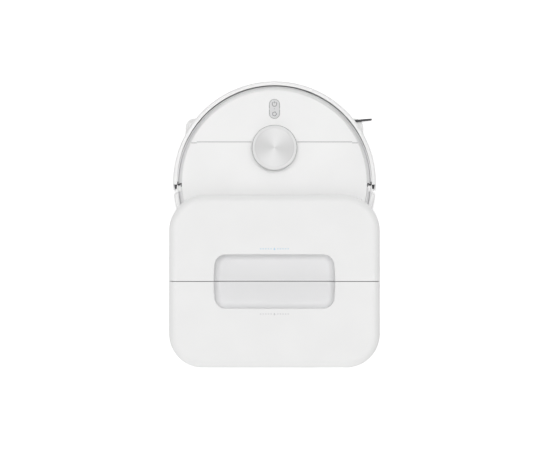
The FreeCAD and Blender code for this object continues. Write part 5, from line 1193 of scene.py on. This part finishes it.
# %% the folded bag before air goes in
BAG_LOW, BAG_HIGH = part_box("dust_bag")
COLLAR_THICK = 2.4 * MM
BAG_SLACK, BAG_VOXEL = 6.5 * MM, 4.5 * MM
GUSSET = 17 * MM
bag_low = BAG_LOW + Vector((BAG_SLACK, BAG_SLACK, COLLAR_THICK + 0.4 * MM))
bag_high = BAG_HIGH - Vector((BAG_SLACK, BAG_SLACK, BAG_SLACK))
bag_mid, bag_half = (bag_low + bag_high) / 2, (bag_high - bag_low) / 2
dust_bag_cloth = start_block("dust_bag_cloth", bag_mid, 2 * bag_half)
pick_all()
bpy.ops.mesh.subdivide(number_cuts=13)
for vert in open_verts(dust_bag_cloth):
    across, deep, up = [(vert.co[k] - bag_mid[k]) / bag_half[k] for k in range(3)]
    fold = max(0.0, abs(across) - 0.55) / 0.45 * (1 - abs(deep)) * (0.35 + 0.65 * (up + 1) / 2)
    vert.co.x -= math.copysign(GUSSET * fold, across)
    vert.co.y = bag_mid.y + deep * bag_half.y * (1 - 0.16 * max(0.0, up) ** 2)
    vert.co.z -= 5 * MM * max(0.0, up) ** 3 * (abs(across) ** 3)
finish_modifier(dust_bag_cloth, "BEVEL", width=4 * MM, segments=2, limit_method="ANGLE",
                angle_limit=math.radians(50))
finish_modifier(dust_bag_cloth, "REMESH", mode="VOXEL", voxel_size=BAG_VOXEL)
print("folded bag", len(dust_bag_cloth.data.vertices))

# %% blow it up
AIR_FRAMES, AIR_PRESSURE, MOST_MOVE = 20, 4.0, 6 * MM


def blow_up(piece, pressure, cap):
    """A short cloth simulation with air inside and no weight; no point moves further than the cap."""
    before = [vert.co.copy() for vert in piece.data.vertices]
    take(piece)
    cloth = piece.modifiers.new("cloth", "CLOTH")
    cloth.settings.use_pressure = True
    cloth.settings.uniform_pressure_force = pressure
    cloth.settings.effector_weights.gravity = 0
    cloth.settings.bending_stiffness = 0.2
    cloth.point_cache.frame_end = AIR_FRAMES
    for step in range(1, AIR_FRAMES + 1):
        scene.frame_set(step)
    bpy.ops.object.modifier_apply(modifier=cloth.name)
    scene.frame_set(1)
    for vert, start in zip(piece.data.vertices, before):
        move = vert.co - start
        if move.length > cap:
            vert.co = start + move * (cap / move.length)


blow_up(dust_bag_cloth, AIR_PRESSURE, MOST_MOVE)
finish_modifier(dust_bag_cloth, "SUBSURF", levels=1, render_levels=1)
for vert in dust_bag_cloth.data.vertices:
    for k in range(3):
        floor_gap = COLLAR_THICK if k == 2 else 0.0
        vert.co[k] = min(max(vert.co[k], BAG_LOW[k] + floor_gap), BAG_HIGH[k])
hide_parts("dust_bag")
close_piece(dust_bag_cloth, "bag_paper", "dock", "bag_paper", smooth=60)
print("dust bag", len(dust_bag_cloth.data.polygons))

# %% board collar and pull tab
COLLAR_FRONT = BAG_LOW.y - 3.2 * MM
COLLAR_REAR = BAG_HIGH.y - 14 * MM
COLLAR_WIDE, TAB_WIDE, TAB_THICK, TAB_TALL = 112 * MM, 34 * MM, 1.8 * MM, 30 * MM
collar = start_block("collar", (0, (COLLAR_FRONT + COLLAR_REAR) / 2, BAG_LOW.z + COLLAR_THICK / 2),
                     (COLLAR_WIDE, COLLAR_REAR - COLLAR_FRONT, COLLAR_THICK))
round_edges(collar, runs_along(2, MM), 9 * MM, 6)
outward()
soften(collar, 0.4 * MM)
tab = start_block("tab", (0, COLLAR_FRONT + TAB_THICK / 2, BAG_LOW.z + TAB_TALL / 2),
                  (TAB_WIDE, TAB_THICK, TAB_TALL))
round_edges(tab, lambda c, e: c.z > BAG_LOW.z + 20 * MM and runs_along(1, MM)(c, e), 8 * MM, 6)
sink_face(tab, lambda c, f: f.normal.y < -0.9, 4 * MM, (0, 0.6 * MM, 0))
outward()
soften(tab, 0.3 * MM)
bag_collar = join_pieces("bag_collar", [collar, tab])
close_piece(bag_collar, "mark_grey", "dock", "bag_paper")
print("collar and tab")

# %% [markdown]
# ## Level marks on the tanks
# Each tank has a short ladder of printed lines on its outer wall that shows how full it is. A line is a
# flat block with rounded ends; it is shaped once and copied up the wall, and the top line is stretched.

# %% one printed line and its copies
LINE_WIDTH, LINE_HEIGHT, LINE_THICK = 12 * MM, 1.3 * MM, 0.3 * MM
LEVELS = (28, 52, 76, 100)
level_line = start_block("level_line", (0, 0, 0), (LINE_WIDTH, LINE_THICK, LINE_HEIGHT))
round_edges(level_line, runs_along(1, LINE_THICK / 2), LINE_HEIGHT * 0.45, 3)
outward()
for tank, wall_y, colour, slot in (("clean_tank", low("clean_tank").y, "mark_blue", "tank_clear"),
                                   ("dirty_tank", high("dirty_tank").y, "mark_grey", "tank_grey")):
    lines = []
    for level in LEVELS:
        stretch = Matrix.Scale(2.2 if level == LEVELS[-1] else 1.0, 4, (1, 0, 0))
        place = Matrix.Translation((high(tank).x - 60 * MM, wall_y, low(tank).z + level * MM))
        lines.append(copy_piece(level_line, tank + "_level", place @ stretch))
    close_piece(join_pieces(tank + "_levels", lines), colour, tank, slot)
bpy.data.objects.remove(level_line)
print("level lines", 2 * len(LEVELS))

# %% [markdown]
# ## Drop sensors
# Four small dark windows near the edge of the underside watch for stairs. One is a flattened cylinder
# whose lower face is inset and pushed up, so that a rim guards the lens; the others are copies of it,
# turned about the body's middle in their own meshes.

# %% one drop sensor, copied round the edge
UNDERSIDE_Z = low("robot_chassis").z
SENSOR_R = BODY_R - 11 * MM
SENSOR_TURNS = {"front_left": 20, "front_right": -20, "left": 76, "right": -76}
fresh_start()
bpy.ops.mesh.primitive_cylinder_add(vertices=40, radius=1, depth=1,
                                    location=(BODY.x, BODY.y - SENSOR_R, UNDERSIDE_Z + 0.5 * MM))
bpy.context.object.scale = (11 * MM, 4.6 * MM, 1.4 * MM)
drop_sensor = open_piece("drop_sensor")
sink_face(drop_sensor, lambda c, f: f.normal.z < -0.9, 1.1 * MM, (0, 0, 0.35 * MM))
outward()
soften(drop_sensor, 0.2 * MM)
sensors = []
for word, turn in SENSOR_TURNS.items():
    about = Matrix.Translation(BODY) @ Matrix.Rotation(math.radians(turn), 4, "Z") @ Matrix.Translation(-BODY)
    sensors.append(copy_piece(drop_sensor, "drop_sensor_" + word, about))
bpy.data.objects.remove(drop_sensor)
drop_sensors = join_pieces("drop_sensors", sensors)
close_piece(drop_sensors, "inner_grey", "robot", "window_black")
print("drop sensors", len(SENSOR_TURNS))

# %% [markdown]
# ## Status light
# A small pill of frosted plastic above the bag door glows when the station works. It is off while the set
# rests, so it only shows as a pale lens: a cube with its short edges rounded and its face inset.

# %% light above the bag door
DOOR_TOP = high("bag_door").z
HOUSING_FRONT = low("dock_housing").y
status_light = start_block("status_light", (0, HOUSING_FRONT + 0.3 * MM, DOOR_TOP + 22 * MM),
                           (26 * MM, 1.2 * MM, 5 * MM))
round_edges(status_light, runs_along(1, MM), 2.4 * MM, 8)
sink_face(status_light, lambda c, f: f.normal.y < -0.9, 0.7 * MM, (0, 0.25 * MM, 0))
outward()
soften(status_light, 0.12 * MM)
close_piece(status_light, "mark_grey", "dock", "window_black")
print("status light", [round(v / MM, 1) for v in status_light.bound_box[0]])
